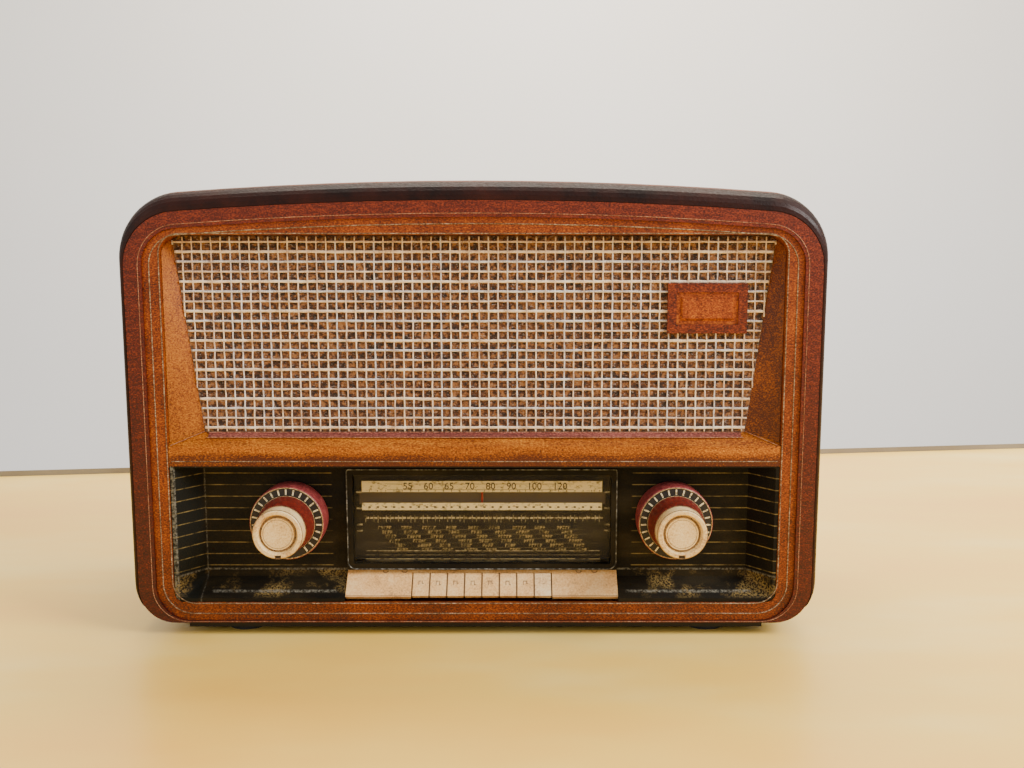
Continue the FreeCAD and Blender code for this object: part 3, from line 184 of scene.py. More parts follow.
laminate = Finish("laminate", Roughness=0.38)
cloud = laminate.noise(2.2, (1, 3, 1), 4.0)
marbling = ((0.3, (0.97, 0.54, 0.08)), (0.5, (0.99, 0.63, 0.11)), (0.7, (0.99, 0.73, 0.22)))
laminate.colour(laminate.ramp(cloud, *marbling))
laminate.rough(cloud, 0.32, 0.45)
matt_white = Finish("matt_white", Roughness=0.9)
whites = ((0.3, (0.96, 0.94, 0.91)), (0.7, (0.98, 0.975, 0.97)))
matt_white.colour(matt_white.ramp(matt_white.noise(1.1), *whites))
shadow_gap = Finish("shadow_gap", Roughness=0.95)
browns = ((0.3, (0.20, 0.17, 0.13)), (0.7, (0.28, 0.25, 0.20)))
shadow_gap.colour(shadow_gap.ramp(shadow_gap.noise(9), *browns))
REACH, EDGE, LEAN = 3.0, 0.44, 0.1333
WALL, WALL_HALF, WALL_FOOT, WALL_TOP = 2.6, 9.0, -1.8, 3.5
left, right = (-REACH, EDGE - LEAN * REACH), (REACH, EDGE + LEAN * REACH)
sheet_of("table_top", [(-REACH, -REACH, 0), (REACH, -REACH, 0), (*right, 0), (*left, 0)], laminate)
EDGE_FOOT, EDGE_TOP = -0.02, 0.006
rises = ((*left, EDGE_FOOT), (*right, EDGE_FOOT), (*right, EDGE_TOP), (*left, EDGE_TOP))
sheet_of("table_edge", rises, shadow_gap)
rises = ((-1, WALL_FOOT), (1, WALL_FOOT), (1, WALL_TOP), (-1, WALL_TOP))
sheet_of("wall", [(side * WALL_HALF, WALL, z) for side, z in rises], matt_white)

# Cabinet. A moulded plywood box with black piano lacquer, rubbed through to brown
# along the crest of its crowned top, a brown that is partly a painted highlight on the crest.
lacquer = Finish("black_lacquer", Specular_IOR_Level=0.16, Coat_Weight=0.06, Coat_Roughness=0.15)
peel = lacquer.noise(700, detail=2.0)
depths = ((0.35, (0.007, 0.0012, 0.0006)), (0.7, (0.032, 0.0055, 0.0022)))
depth_tone = lacquer.ramp(lacquer.noise(38, detail=5.0), *depths)
# Upward faces near the front turn brown: partly rubbed lacquer, partly a painted highlight.
crest = lacquer.add("MapRange", lacquer.facing("z"), 0.90, 0.985, 0.0, 1.0)
grain = lacquer.add("MapRange", lacquer.noise(110, (0.12, 1, 1), 5.0), 0.3, 0.66, 0.25, 1.0)
handled = lacquer.add("MapRange", lacquer.axis("y"), -0.074, -0.045, 1.0, 0.2)
rubbed_and_highlight = lacquer.calc("MULTIPLY", lacquer.calc("MULTIPLY", crest, grain), handled)
lacquer.colour(lacquer.blend(rubbed_and_highlight, depth_tone, (0.30, 0.085, 0.03)))
lacquer.rough(lacquer.calc("ADD", peel, lacquer.calc("MULTIPLY", crest, 0.3)), 0.32, 0.6)
lacquer.bump(peel, 0.0004, 0.5)
lacquer.coat("cabinet_shell")

# Front ring. A solid mahogany hoop glued to the cabinet's mouth, stained red-brown,
# with a thin pale scribe line near its inner edge.
MM = 0.001
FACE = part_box("front_ring")[0][1]


def stained(name, deep, middle, light, grain=(1, 1, 1), streaks=55.0, gloss=(0.4, 0.62),
            pores=0.5, shade=None):
    """Stained wood: long streaks of grain, a fine stipple of lacquer and small dark pores."""
    finish = Finish(name, Specular_IOR_Level=0.35, Coat_Weight=0.1, Coat_Roughness=0.3)
    streak = finish.noise(streaks, grain, 4.0)
    stipple = finish.noise(1250, (0.6, 1, 1), detail=2.0, roughness=0.75)
    mixed = finish.mix(streak, 0.3, stipple, 0.7)
    if shade:
        mixed = finish.calc("ADD", mixed, shade(finish))
    base = finish.ramp(mixed, (0.36, deep), (0.5, middle), (0.64, light))
    pore = finish.add("MapRange", finish.noise(620, grain, 2.0), 0.62, 0.72, 0.0, pores)
    finish.colour(finish.blend(pore, base, deep))
    finish.rough(stipple, *gloss)
    finish.bump(stipple, 0.00035, 0.55)
    finish.bump(streak, 0.0006, 0.2)
    return finish


def at(x, depth, z):
    """A point in metres from millimetres: across, behind the front face, and up."""
    return (x * MM, FACE + depth * MM, z * MM)


def box_mm(node):
    """The two corners of a piece's box, in millimetres."""
    return tuple(Vector(corner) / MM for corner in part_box(node))


def behind(corner):
    """How far a corner in millimetres stands behind the front face."""
    return corner.y - FACE / MM


def hoop(half, low, high, low_corner, high_corner, crown=None, steps=10):
    """Points round an upright outline with rounded corners and a flat or crowned top."""
    lean, spring = math.pi / 2, high - high_corner
    if crown:
        spring = high - crown + math.sqrt((crown - high_corner) ** 2 - (half - high_corner) ** 2)
        lean = math.atan2(spring - high + crown, half - high_corner)

    def arc(x, z, radius, start, end):
        turns = [start + (end - start) * i / steps for i in range(steps + 1)]
        return [(x + radius * math.cos(t), z + radius * math.sin(t)) for t in turns]

    right = arc(half - low_corner, low + low_corner, low_corner, -math.pi / 2, 0)
    right += arc(half - high_corner, spring, high_corner, 0, lean)
    left = arc(high_corner - half, spring, high_corner, math.pi - lean, math.pi)
    left += arc(low_corner - half, low + low_corner, low_corner, math.pi, 1.5 * math.pi)
    top = arc(0, high - crown, crown, lean, math.pi - lean)[1:-1] if crown else []
    return right + top + left


def bead(name, lines, radius, finish, body, closed=True):
    """Fine round inlay or wire laid along lines of (across, depth, up) points."""
    curve = bpy.data.curves.new(name, "CURVE")
    curve.dimensions, curve.bevel_depth, curve.bevel_resolution = "3D", radius * MM, 2
    for line in lines:
        spline = curve.splines.new("POLY")
        spline.points.add(len(line) - 1)
        for point, place in zip(spline.points, line):
            point.co = (*at(*place), 1)
        spline.use_cyclic_u = closed
    curve.materials.append(finish.material)
    made = bpy.data.objects.new(name, curve)
    bpy.context.scene.collection.objects.link(made)
    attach(made, body)
    return made


def laid(outline, depth):
    """An outline of (across, up) points, set at a depth."""
    return [(x, depth, z) for x, z in outline]


CROWN, FOOT_CORNER, SHOULDER = 2400, 22, 33


def lit_side(finish):
    """Painted light: lighter towards the top and slightly towards the right, darker towards the bottom."""
    aside = finish.add("MapRange", finish.axis("x"), -0.2, 0.2, -0.01, 0.005)
    return finish.calc("ADD", aside, finish.add("MapRange", finish.axis("z"), 0.02, 0.27, -0.055, 0.03))


mahogany = stained("mahogany", (0.018, 0.0008, 0.0002), (0.080, 0.0045, 0.0009), (0.24, 0.034, 0.009),
                   (1, 1, 3), 160.0, shade=lit_side)
mahogany.coat("front_ring")
scribe = stained("scribe_line", (0.10, 0.025, 0.01), (0.28, 0.11, 0.05), (0.52, 0.29, 0.17))
mould_low, mould_high = box_mm("front_moulding")
SCRIBE_GAP, SCRIBE_SHOULDER = 2.2, SHOULDER - 8.5
outline = hoop(mould_high.x + SCRIBE_GAP, mould_low.z - 0.2, mould_high.z + SCRIBE_GAP, FOOT_CORNER,
               SCRIBE_SHOULDER, CROWN)
bead("ring_scribe", [laid(outline, 0.0)], 0.22, scribe, "cabinet")


# Front moulding. Honey-stained beech set one step back inside the ring, cut with two
# narrow grooves that are filled with pale wax.
def darker_foot(finish):
    """The colour turns darker towards the bottom rail."""
    return finish.add("MapRange", finish.axis("z"), 0.02, 0.1, -0.05, 0.0)


honey = stained("honey", (0.038, 0.0032, 0.0001), (0.185, 0.026, 0.0001), (0.42, 0.105, 0.001),
                streaks=45.0, shade=darker_foot)
honey.coat("front_moulding")
wax = stained("groove_wax", (0.05, 0.018, 0.005), (0.18, 0.105, 0.05), (0.46, 0.36, 0.25),
              gloss=(0.5, 0.8))
MOULD_DEPTH, OPENING_HALF, MOULD_FOOT, MOULD_TOP, RING_WIDTH = 1.5, 187.5, 11.8, 10.5, 10.8
lines = []
for share in (0.38, 0.93):
    inset = (mould_high.x - OPENING_HALF) * share
    outline = hoop(mould_high.x - inset, mould_low.z + MOULD_FOOT * share, mould_high.z - MOULD_TOP * share,
                   FOOT_CORNER - inset * 0.8, SHOULDER - RING_WIDTH - inset, CROWN if share < 0.5 else None)
    lines.append(laid(outline, MOULD_DEPTH))
bead("moulding_grooves", lines, 0.36, wax, "cabinet")


# Grille wings. Flat honey-stained boards that slope from the moulding in to the cloth, with painted
# light making the left one paler than the right one.
def painted_light_left(finish):
    """Painted light: the left board is painted paler and the right one darker, as if lit from the right."""
    return finish.add("MapRange", finish.axis("x"), -0.19, 0.19, 0.02, -0.09)


wings = stained("wing_board", (0.060, 0.008, 0.0002), (0.25, 0.058, 0.0008), (0.46, 0.155, 0.006),
                (1, 1, 0.6), 60.0, pores=0.35, shade=painted_light_left)
wings.coat("grille_wings")


# Ledge. A shelf rail with a rounded nose between grille and dial; a thin maroon strip lies
# on its slope between two pale edges, and a scored line runs along its nose.
def shaded_foot(finish):
    """Painted shade: below its scored line, where the nose turns under, the colour is made darker."""
    return finish.add("MapRange", finish.axis("z"), 0.112, 0.1165, -0.16, 0.0)


nose = stained("ledge_honey", (0.075, 0.009, 0.0002), (0.32, 0.078, 0.0010), (0.60, 0.22, 0.012),
               (0.2, 1, 1), 120.0, shade=shaded_foot)
nose.coat("ledge_rail")
maroon = stained("maroon_inlay", (0.05, 0.010, 0.008), (0.17, 0.035, 0.028), (0.36, 0.12, 0.09),
                 (0.1, 1, 1), 160.0)
maroon.coat("ledge_strip")
strip_low, strip_high = box_mm("ledge_strip")
rail_low, rail_high = box_mm("ledge_rail")


def level(half, depth, z):
    """A straight line across, the same way to either side."""
    return [(-half, depth, z), (half, depth, z)]


edges = [level(strip_high.x + 1, behind(strip_low), strip_low.z + 0.7),
         level(strip_high.x + 1, behind(strip_high) - 0.2, strip_high.z)]
bead("strip_edges", edges, 0.3, scribe, "cabinet", closed=False)
bead("rail_line", [level(rail_high.x - 1.5, MOULD_DEPTH, rail_low.z + 3)], 0.28, wax, "cabinet",
     closed=False)
MITRE_INNER, MITRE_OUTER = (167.5, 11.2, 127.8), (186.0, 1.3, 120.6)
mitres = [[(side * x, depth, z) for x, depth, z in (MITRE_INNER, MITRE_OUTER)] for side in (-1, 1)]
bead("ledge_mitres", mitres, 0.25, scribe, "cabinet", closed=False)

# Grille cloth. An open net of thick cream yarns, stretched over a brown backing fabric
# that is tacked to the baffle. Every third weft is a fuzzy bluish one.
WARP, WEFT, THREADS = 5.8, 6.0, 9000.0


def front_sheet(node):
    """The flat front of a piece of the frame, as a sheet on its own."""
    sheet = bmesh.new()
    sheet.from_mesh(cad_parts[node].data)
    near = min(v.co.y for v in sheet.verts)
    back = [f for f in sheet.faces if any(abs(v.co.y - near) > 1e-6 for v in f.verts)]
    bmesh.ops.delete(sheet, geom=back, context="FACES")
    bmesh.ops.remove_doubles(sheet, verts=sheet.verts[:], dist=1e-6)
    return sheet


def finished(name, sheet, finishes, body, smooth=True):
    """Turns a mesh being worked on into a piece that rides on a body."""
    mesh = bpy.data.meshes.new(name)
    sheet.to_mesh(mesh)
    sheet.free()
    for finish in finishes:
        mesh.materials.append(finish.material)
    for face in mesh.polygons:
        face.use_smooth = smooth
    made = bpy.data.objects.new(name, mesh)
    bpy.context.scene.collection.objects.link(made)
    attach(made, body)
    return made


chance = random.Random(7)
backing = front_sheet("grille_cloth")
rim = [(e.verts[0].co.copy(), e.verts[1].co.copy()) for e in backing.edges if e.is_boundary]
cloth_low, cloth_high = (Vector(c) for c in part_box("grille_cloth"))
for axis, pitch in ((0, WARP * MM / 2), (2, WEFT * MM / 2)):
    normal = Vector((axis == 0, 0, axis == 2))
    start = cloth_low[axis] + pitch
    while start < cloth_high[axis] - pitch * 0.3:
        whole = backing.verts[:] + backing.edges[:] + backing.faces[:]
        bmesh.ops.bisect_plane(backing, geom=whole, plane_co=normal * start, plane_no=normal, dist=1e-7)
        start += pitch
for vertex in backing.verts:
    if not vertex.is_boundary:
        vertex.co.y += chance.uniform(-0.00012, 0.00012)
weave = Finish("backing_weave", Roughness=0.85, Sheen_Weight=0.3)
mottle = weave.noise(420, detail=4.0)
hatch = weave.calc("ADD", *(weave.calc("SINE", weave.calc("MULTIPLY", weave.axis(letter), THREADS))
                            for letter in "xz"))
fluff = weave.add("MapRange", weave.noise(620, (1, 1, 1.6), 3.0), 0.57, 0.68, 0.0, 0.6)
brown = weave.ramp(mottle, (0.38, (0.012, 0.003, 0.001)), (0.5, (0.11, 0.033, 0.009)),
                   (0.62, (0.36, 0.16, 0.055)))
weave.colour(weave.blend(fluff, brown, (0.50, 0.43, 0.42)))
weave.bump(hatch, 0.0002, 0.6)
weave.bump(mottle, 0.0005, 0.5)
ground = finished("grille_backing", backing, [weave], "cabinet")
thick = ground.modifiers.new("cloth_thickness", "SOLIDIFY")
thick.thickness, thick.offset = 0.0006, -1
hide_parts("grille_cloth")


def span(axis, value):
    """Where a straight line across the cloth meets its rim."""
    other, met = 2 - axis, []
    for a, b in rim:
        if (a[axis] - value) * (b[axis] - value) <= 0 and a[axis] != b[axis]:
            met.append(a[other] + (b[other] - a[other]) * (value - a[axis]) / (b[axis] - a[axis]))
    return min(met), max(met)


END_GAP, YARN_THICK, YARN_LIFT, YARN_SIDES = 0.0006, 0.00046, 0.00030, 8
WARP_WIDTH, WARP_OFF = 0.00092, 0.00062
WEFT_WIDTHS, WEFT_OFF = (0.0017, 0.0012, 0.0014), 0.00078


def yarn(net, axis, value, kind, wide, wave):
    """One yarn of the net, over and under the ones it crosses."""
    along, cross = 2 - axis, axis
    low, high = span(axis, value)
    step = (WEFT if axis == 0 else WARP) * MM / 4
    length = high - low - 2 * END_GAP
    stands = cloth_low.y - (WARP_OFF if axis == 0 else WEFT_OFF)
    count = int(length / step)
    rings, drift = [], 0.0
    for i in range(count + 1):
        run = low + END_GAP + length * i / count
        drift = drift * 0.8 + chance.uniform(-0.00008, 0.00008)
        lift = YARN_LIFT * math.cos(math.pi * (run / (step * 4)) + wave)
        swell = wide * chance.uniform(0.85, 1.18) / 2
        ring = []
        for side in range(YARN_SIDES):
            turn = 2 * math.pi * side / YARN_SIDES
            place = [0, 0, 0]
            place[along] = run
            place[cross] = value + drift + swell * math.cos(turn)
            place[1] = stands + lift + YARN_THICK * math.sin(turn)
            ring.append(net.verts.new(place))
        rings.append(ring)
    for a, b in zip(rings, rings[1:]):
        for side in range(YARN_SIDES):
            beside = (side + 1) % YARN_SIDES
            face = net.faces.new((a[side], a[beside], b[beside], b[side]))
            face.material_index = kind
    for end in (rings[0][::-1], rings[-1]):
        net.faces.new(end).material_index = kind


def spun(name, dark, middle, light):
    """A fuzzy yarn, worn paler in places."""
    finish = Finish(name, Roughness=0.8, Sheen_Weight=0.4)
    fuzz = finish.noise(1500, detail=3.0)
    wear_and_gap_shade = finish.noise(90, detail=3.0)
    tone = finish.mix(fuzz, 0.55, wear_and_gap_shade, 0.45)
    finish.colour(finish.ramp(tone, (0.36, dark), (0.5, middle), (0.62, light)))
    finish.bump(fuzz, 0.0004, 0.8)
    return finish


yarns = [spun("cream_yarn", (0.48, 0.30, 0.18), (0.90, 0.70, 0.50), (0.97, 0.88, 0.74)),
         spun("pale_yarn", (0.36, 0.22, 0.15), (0.74, 0.54, 0.40), (0.92, 0.78, 0.64)),
         spun("blue_yarn", (0.30, 0.22, 0.22), (0.66, 0.60, 0.60), (0.90, 0.92, 0.96))]
net = bmesh.new()
count = int((cloth_high.x - cloth_low.x) / (WARP * MM))
margin = (cloth_high.x - cloth_low.x - count * WARP * MM) / 2
for i in range(count + 1):
    kind = chance.choice((0, 1, 1, 2))
    yarn(net, 0, cloth_low.x + margin + i * WARP * MM + 1e-5, kind, WARP_WIDTH, math.pi * i)
count = int((cloth_high.z - cloth_low.z - 0.004) / (WEFT * MM))
for i in range(count + 1):
    kind = i % len(yarns)
    yarn(net, 2, cloth_low.z + 0.003 + i * WEFT * MM, kind, WEFT_WIDTHS[kind], math.pi * (i + 1))
woven = finished("grille_net", net, yarns, "cabinet")
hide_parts("grille_cloth")

# Badge. A blank name plate at the cloth's upper right: an ochre plate with a raised, bevelled field
# in a maroon frame.
badge_frame = stained("badge_maroon", (0.023, 0.0018, 0.0003), (0.118, 0.0095, 0.0008), (0.31, 0.055, 0.009),
                      streaks=200.0)
badge_frame.coat("badge_frame")
ochre = stained("badge_ochre", (0.072, 0.007, 0.0003), (0.25, 0.037, 0.0005), (0.50, 0.135, 0.006),
                streaks=160.0)
ochre.coat("badge_plate")
plate_low, plate_high = (Vector(c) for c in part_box("badge_plate"))
field = bmesh.new()
bmesh.ops.create_cube(field, size=1)
FIELD_INSET, FIELD_RAISE, FIELD_TAPER = 2.2 * MM, 1.1 * MM, 1.3 * MM
plate_middle, plate_half = (plate_low + plate_high) / 2, (plate_high - plate_low) / 2
for v in field.verts:
    inset = FIELD_INSET + (FIELD_TAPER if v.co.y < 0 else 0)
    v.co = Vector((plate_middle.x + 2 * v.co.x * (plate_half.x - inset),
                   plate_low.y - (FIELD_RAISE if v.co.y < 0 else -0.0003),
                   plate_middle.z + 2 * v.co.z * (plate_half.z - inset)))
bmesh.ops.bevel(field, geom=field.edges[:], offset=0.3 * MM, segments=2, affect="EDGES")
finished("badge_field", field, [ochre], "cabinet", smooth=False)

# Control panel. One dark olive moulding with fine gold lines printed across it, silvery painted
# highlights along its lower edges and its left side, painted shade on the right cheek of its opening,
# and gilt dusting worn into its bottom slope.
LINE_LOW, LINE_PITCH, LINE_HIGH = 40.1 * MM, 7.475 * MM, 100.5 * MM
CONTROL_SHIFT, DUSTY, FOOT_EDGE, SLOPE_EDGE = 0.004, (0.0255, 0.0365), (0.0262, 0.0270), (0.0372, 0.0380)
OUTER_EDGE, CHEEK_EDGE = (0.1846, 0.1866), (0.1707, 0.1713)
panel = Finish("panel_olive", Specular_IOR_Level=0.2)
grime = panel.noise(300, (0.4, 1, 1), 4.0)
stipple = panel.noise(1100, detail=2.0)
body_tone = panel.ramp(panel.noise(70, (0.3, 1, 1), 4.0), (0.35, (0.003, 0.002, 0.0006)),
                       (0.5, (0.0085, 0.0055, 0.0013)), (0.72, (0.024, 0.017, 0.006)))
across, up = panel.axis("x"), panel.axis("z")
leftwards = panel.calc("SUBTRACT", 0.0, across)
side = panel.calc("ABSOLUTE", panel.calc("SUBTRACT", across, CONTROL_SHIFT))
above = panel.calc("SUBTRACT", up, LINE_LOW - LINE_PITCH / 2)
line = panel.band(panel.calc("FRACT", panel.calc("DIVIDE", above, LINE_PITCH)), 0.472, 0.528, 0.025)
line = panel.calc("MULTIPLY", line, panel.band(up, LINE_LOW - 0.002, LINE_HIGH, 0.0005))
line = panel.calc("MULTIPLY", line, panel.add("MapRange", side, 0.0945, 0.0955, 0.0, 1.0))
line = panel.calc("MULTIPLY", line, panel.add("MapRange", grime, 0.36, 0.62, 0.08, 1.0))
cheek = panel.add("MapRange", leftwards, 0.1715, 0.174, 0.0, 1.0)
tone = panel.blend(cheek, body_tone, (0.0055, 0.0055, 0.0028))
# The right cheek of the opening is painted near-black: painted shade.
shaded_far_cheek = panel.add("MapRange", across, 0.160, 0.172, 0.0, 0.75)
tone = panel.blend(shaded_far_cheek, tone, (0.0015, 0.0008, 0.0003))
tone = panel.blend(line, tone, (0.20, 0.145, 0.05))
patches = panel.add("MapRange", panel.noise(34), 0.48, 0.6, 0.0, 1.0)
specks = panel.add("MapRange", panel.noise(900), 0.42, 0.6, 0.0, 0.9)
dust = panel.calc("MULTIPLY", panel.calc("MULTIPLY", panel.band(up, *DUSTY, 0.002), patches), specks)
tone = panel.blend(dust, tone, (0.24, 0.16, 0.05))
# Pale silvery lines along the edges are painted highlights.
edge = panel.calc("MULTIPLY", panel.band(up, *FOOT_EDGE, 0.0003), panel.band(side, 0.092, 0.168, 0.002))
edge_highlights = (panel.calc("MULTIPLY", panel.band(up, *SLOPE_EDGE, 0.0004), 0.7),
                panel.band(leftwards, *OUTER_EDGE, 0.0004),
                panel.calc("MULTIPLY", panel.band(leftwards, *CHEEK_EDGE, 0.0003), 0.45))
for edge_highlight in edge_highlights:
    edge = panel.calc("MAXIMUM", edge, edge_highlight)
edge = panel.calc("MULTIPLY", edge, panel.add("MapRange", panel.noise(700), 0.40, 0.66, 0.05, 0.9))
panel.colour(panel.blend(edge, tone, (0.20, 0.19, 0.15)))
panel.rough(stipple, 0.5, 0.8)
panel.bump(stipple, 0.0003, 0.5)
panel.bump(grime, 0.0004, 0.25)
panel.coat("control_panel")
BEZEL_OUT = 3.4
glass_low, glass_high = box_mm("dial_glass")
dial_x, dial_half = (glass_low.x + glass_high.x) / 2, (glass_high.x - glass_low.x) / 2 + BEZEL_OUT
bezel_depth = behind(glass_low) - 1.0
silver = Finish("rubbed_silver", Metallic=0.35)
silver.colour(silver.ramp(silver.noise(380), (0.36, (0.012, 0.012, 0.010)), (0.5, (0.08, 0.08, 0.07)),
                          (0.66, (0.34, 0.34, 0.32))))
silver.rough(silver.noise(500), 0.35, 0.6)
silver.bump(silver.noise(900), 0.0003, 0.5)
outline = hoop(dial_half, glass_low.z - BEZEL_OUT, glass_high.z + BEZEL_OUT, 5, 1.5)
outline = [(x + dial_x, z) for x, z in outline]
bead("dial_border", [laid(outline, bezel_depth)], 0.36, silver, "cabinet")

# Dial. A glass pane printed on its back with bands, marks and station columns; a dark
# scale plate stands behind it, and the pointer runs between them.
glass = Finish("dial_glass", Roughness=0.08, IOR=1.48, Alpha=0.08)
dusty = glass.noise(60, detail=4.0)
glass.colour(glass.ramp(dusty, (0.3, (0.01, 0.009, 0.006)), (0.7, (0.03, 0.027, 0.02))))
glass.rough(dusty, 0.04, 0.16)
glass.coat("dial_glass")
scale_plate = Finish("scale_plate", Roughness=0.6)
smoke = scale_plate.noise(150, (0.25, 1, 1), 4.0)
plate_tone = scale_plate.ramp(smoke, (0.35, (0.010, 0.008, 0.004)), (0.7, (0.045, 0.032, 0.015)))
middle = scale_plate.band(scale_plate.axis("z"), 0.0785, 0.0862, 0.0004)
from_middle = scale_plate.calc("SUBTRACT", scale_plate.axis("x"), CONTROL_SHIFT)
middle = scale_plate.calc("MULTIPLY", middle, scale_plate.band(from_middle, -0.078, 0.078, 0.001))
scale_plate.colour(scale_plate.blend(middle, plate_tone, (0.14, 0.10, 0.058)))
scale_plate.bump(smoke, 0.0003, 0.4)
scale_plate.coat("dial_backplate")
PRINT_DEPTH = behind(glass_high)


def block(work, low, high, kind=0):
    """Closes a solid between two loops of four points."""
    around = [(low[i], low[(i + 1) % 4], high[(i + 1) % 4], high[i]) for i in range(4)]
    for face in [low[::-1], high] + around:
        work.faces.new(face).material_index = kind


def slabs(name, blocks, finishes, body):
    """Thin raised blocks: (x, x), (depth, depth), (z, z), finish number and slant, in millimetres."""
    work = bmesh.new()
    for (x0, x1), (d0, d1), (z0, z1), kind, slant in blocks:
        loop = ((x0, d0), (x1, d0), (x1, d1), (x0, d1))
        low = [work.verts.new(at(x, d, z0)) for x, d in loop]
        high = [work.verts.new(at(x + slant, d, z1)) for x, d in loop]
        block(work, low, high, kind)
    bmesh.ops.recalc_face_normals(work, faces=work.faces[:])
    return finished(name, work, finishes, body, smooth=False)


def printed(name, dark, light, wear=(0.32, 0.5), fine=700.0):
    """Matt ink or paint, speckled where it has worn."""
    finish = Finish(name, Roughness=0.6)
    speck = finish.noise(fine, (0.6, 1, 1), 3.0)
    finish.colour(finish.ramp(speck, (wear[0], dark), (wear[1], light)))
    finish.bump(speck, 0.0002, 0.5)
    return finish


cream_ink = printed("cream_ink", (0.28, 0.20, 0.07), (0.88, 0.72, 0.36), (0.30, 0.46))
pale_ink = printed("pale_ink", (0.05, 0.035, 0.014), (0.42, 0.33, 0.16), (0.38, 0.60))
gold_ink = printed("gold_ink", (0.05, 0.035, 0.010), (0.46, 0.33, 0.12), (0.38, 0.6))
dark_ink = printed("dark_ink", (0.015, 0.010, 0.005), (0.05, 0.03, 0.015))
thin = (PRINT_DEPTH + 0.02, PRINT_DEPTH + 0.22)
over = (PRINT_DEPTH - 0.06, PRINT_DEPTH + 0.02)
under = (PRINT_DEPTH + 0.24, PRINT_DEPTH + 0.34)
CREAM, PALE, GOLD, DARK, TAN, DIM = range(6)
blocks = [((dial_x - 76, dial_x + 76), thin, z, CREAM, 0) for z in ((87.6, 94.7), (75.9, 80.6))]
TICKS, TICK_PITCH = 58, 2.6
ROWS, ROW_TOP, ROW_PITCH = 6, 65.6, 2.9
COLUMNS, COLUMN_PITCH = 9, 14.2
for i in range(TICKS):
    x = dial_x - 74 + i * TICK_PITCH
    blocks.append(((x + 0.4, x + 2.3), thin, (70.2, 71.2 + 0.3 * chance.random()), TAN, 0))
    if i % 3 != 1:
        blocks.append(((x, x + 0.4), thin, (67.6 + chance.random(), 72.6), PALE, 0))
    if i % 2:
        blocks.append(((x - 0.6, x + 0.9), over, (77.4, 78.4), DARK, 0))
        blocks.append(((x, x + 0.4), over, (87.9, 88.9), DARK, 0))
for row in range(ROWS):
    z = ROW_TOP - row * ROW_PITCH
    for column in range(COLUMNS):
        x = dial_x - 66 + column * COLUMN_PITCH + row * 2.5 + chance.uniform(-0.8, 0.8)
        for stroke in range(chance.randint(4, 5)):
            left = x + stroke * 1.75
            foot = z - 0.8 - chance.choice((0, 0.6, 1.2))
            blocks.append(((left, left + 0.6), thin, (z - 2.1, z), GOLD, 0.25))
            blocks.append(((left, left + 1.4), thin, (foot, z - 0.1), GOLD, 0.1))
    start, end = chance.uniform(-70, -62), chance.uniform(60, 74)
    blocks.append(((dial_x + start, dial_x + end), under, (z - 2.75, z - 2.4), DIM, 0))
for z, kind in ((49.4, PALE), (46.6, DIM), (44.0, PALE), (42.6, DIM)):
    blocks.append(((dial_x - 74, dial_x + 75), thin, (z - 0.3, z + 0.3), kind, 0))
for z in (92.7, 89.0):
    blocks.append(((dial_x - 60, dial_x + 58), over, (z, z + 0.25), DIM, 0))
for x in (dial_x - 79.5, dial_x + 77.5):
    for z in (87, 76.5, 66, 62):
        blocks.append(((x, x + 3.6), thin, (z, z + 1.1), PALE, 0))
tan_ink = printed("tan_ink", (0.10, 0.07, 0.028), (0.50, 0.40, 0.20), (0.34, 0.55))
dim_ink = printed("dim_ink", (0.012, 0.008, 0.003), (0.15, 0.11, 0.045), (0.36, 0.62), 300.0)
inks = [cream_ink, pale_ink, gold_ink, dark_ink, tan_ink, dim_ink]
slabs("dial_print", blocks, inks, "cabinet")
numbers = bpy.data.curves.new("dial_numbers", "FONT")
numbers.body = "55    60    65    70    80    90    100    120"
numbers.size, numbers.extrude, numbers.align_x = 0.0062, 0.00006, "CENTER"
numbers.materials.append(dark_ink.material)
figures = bpy.data.objects.new("dial_numbers", numbers)
figures.location = at(dial_x + 2, over[0], 89.4)
figures.rotation_euler = (math.pi / 2, 0, 0)
bpy.context.scene.collection.objects.link(figures)
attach(figures, "cabinet")
needle = Finish("pointer_enamel", Roughness=0.5)
chips = needle.ramp(needle.noise(600), (0.35, (0.22, 0.012, 0.006)), (0.6, (0.50, 0.04, 0.02)))
black_middle = needle.band(needle.axis("z"), 0.0755, 0.0885, 0.0008)
needle.colour(needle.blend(black_middle, (0.012, 0.008, 0.005), chips))
needle.bump(needle.noise(900), 0.0002, 0.4)
needle.coat("dial_pointer")

# Keys. Eight cream piano keys in a cream fascia, each edged with a fine brown line, partly painted
# shade of the gaps between keys, and carrying a small plain mark; the last one is whiter and blank.
SLOPE_DEPTH, SLOPE_LOW = (4.1, 13.9), (23.9, 13.5)


def on_slope(share, lift):
    """A point over the keys' sloping faces: its share of the way up, and how far it stands off."""
    return (SLOPE_DEPTH[0] + SLOPE_DEPTH[1] * share - 0.68 * lift,
            SLOPE_LOW[0] + SLOPE_LOW[1] * share + 0.73 * lift)


def ivory(name, middle, light, lined):
    """Aged cream plastic; if lined, a fine brown line down both sides, partly painted shade of the gaps."""
    finish = Finish(name, Coat_Weight=0.2, Coat_Roughness=0.3)
    speck = finish.noise(900, detail=3.0)
    stain = finish.noise(60, detail=4.0)
    tone = finish.mix(speck, 0.5, stain, 0.5)
    shade = finish.ramp(tone, (0.36, (0.46, 0.25, 0.10)), (0.47, middle), (0.62, light))
    if lined:
        rim_across = finish.calc("ABSOLUTE", finish.calc("SUBTRACT", finish.axis("x", True), 0.5))
        wear_and_gap_shade = finish.add("MapRange", rim_across, 0.455, 0.475, 0.0, 0.85)
        shade = finish.blend(wear_and_gap_shade, shade, (0.22, 0.115, 0.05))
    finish.colour(shade)
    finish.rough(speck, 0.35, 0.55)
    finish.bump(speck, 0.0003, 0.4)
    return finish


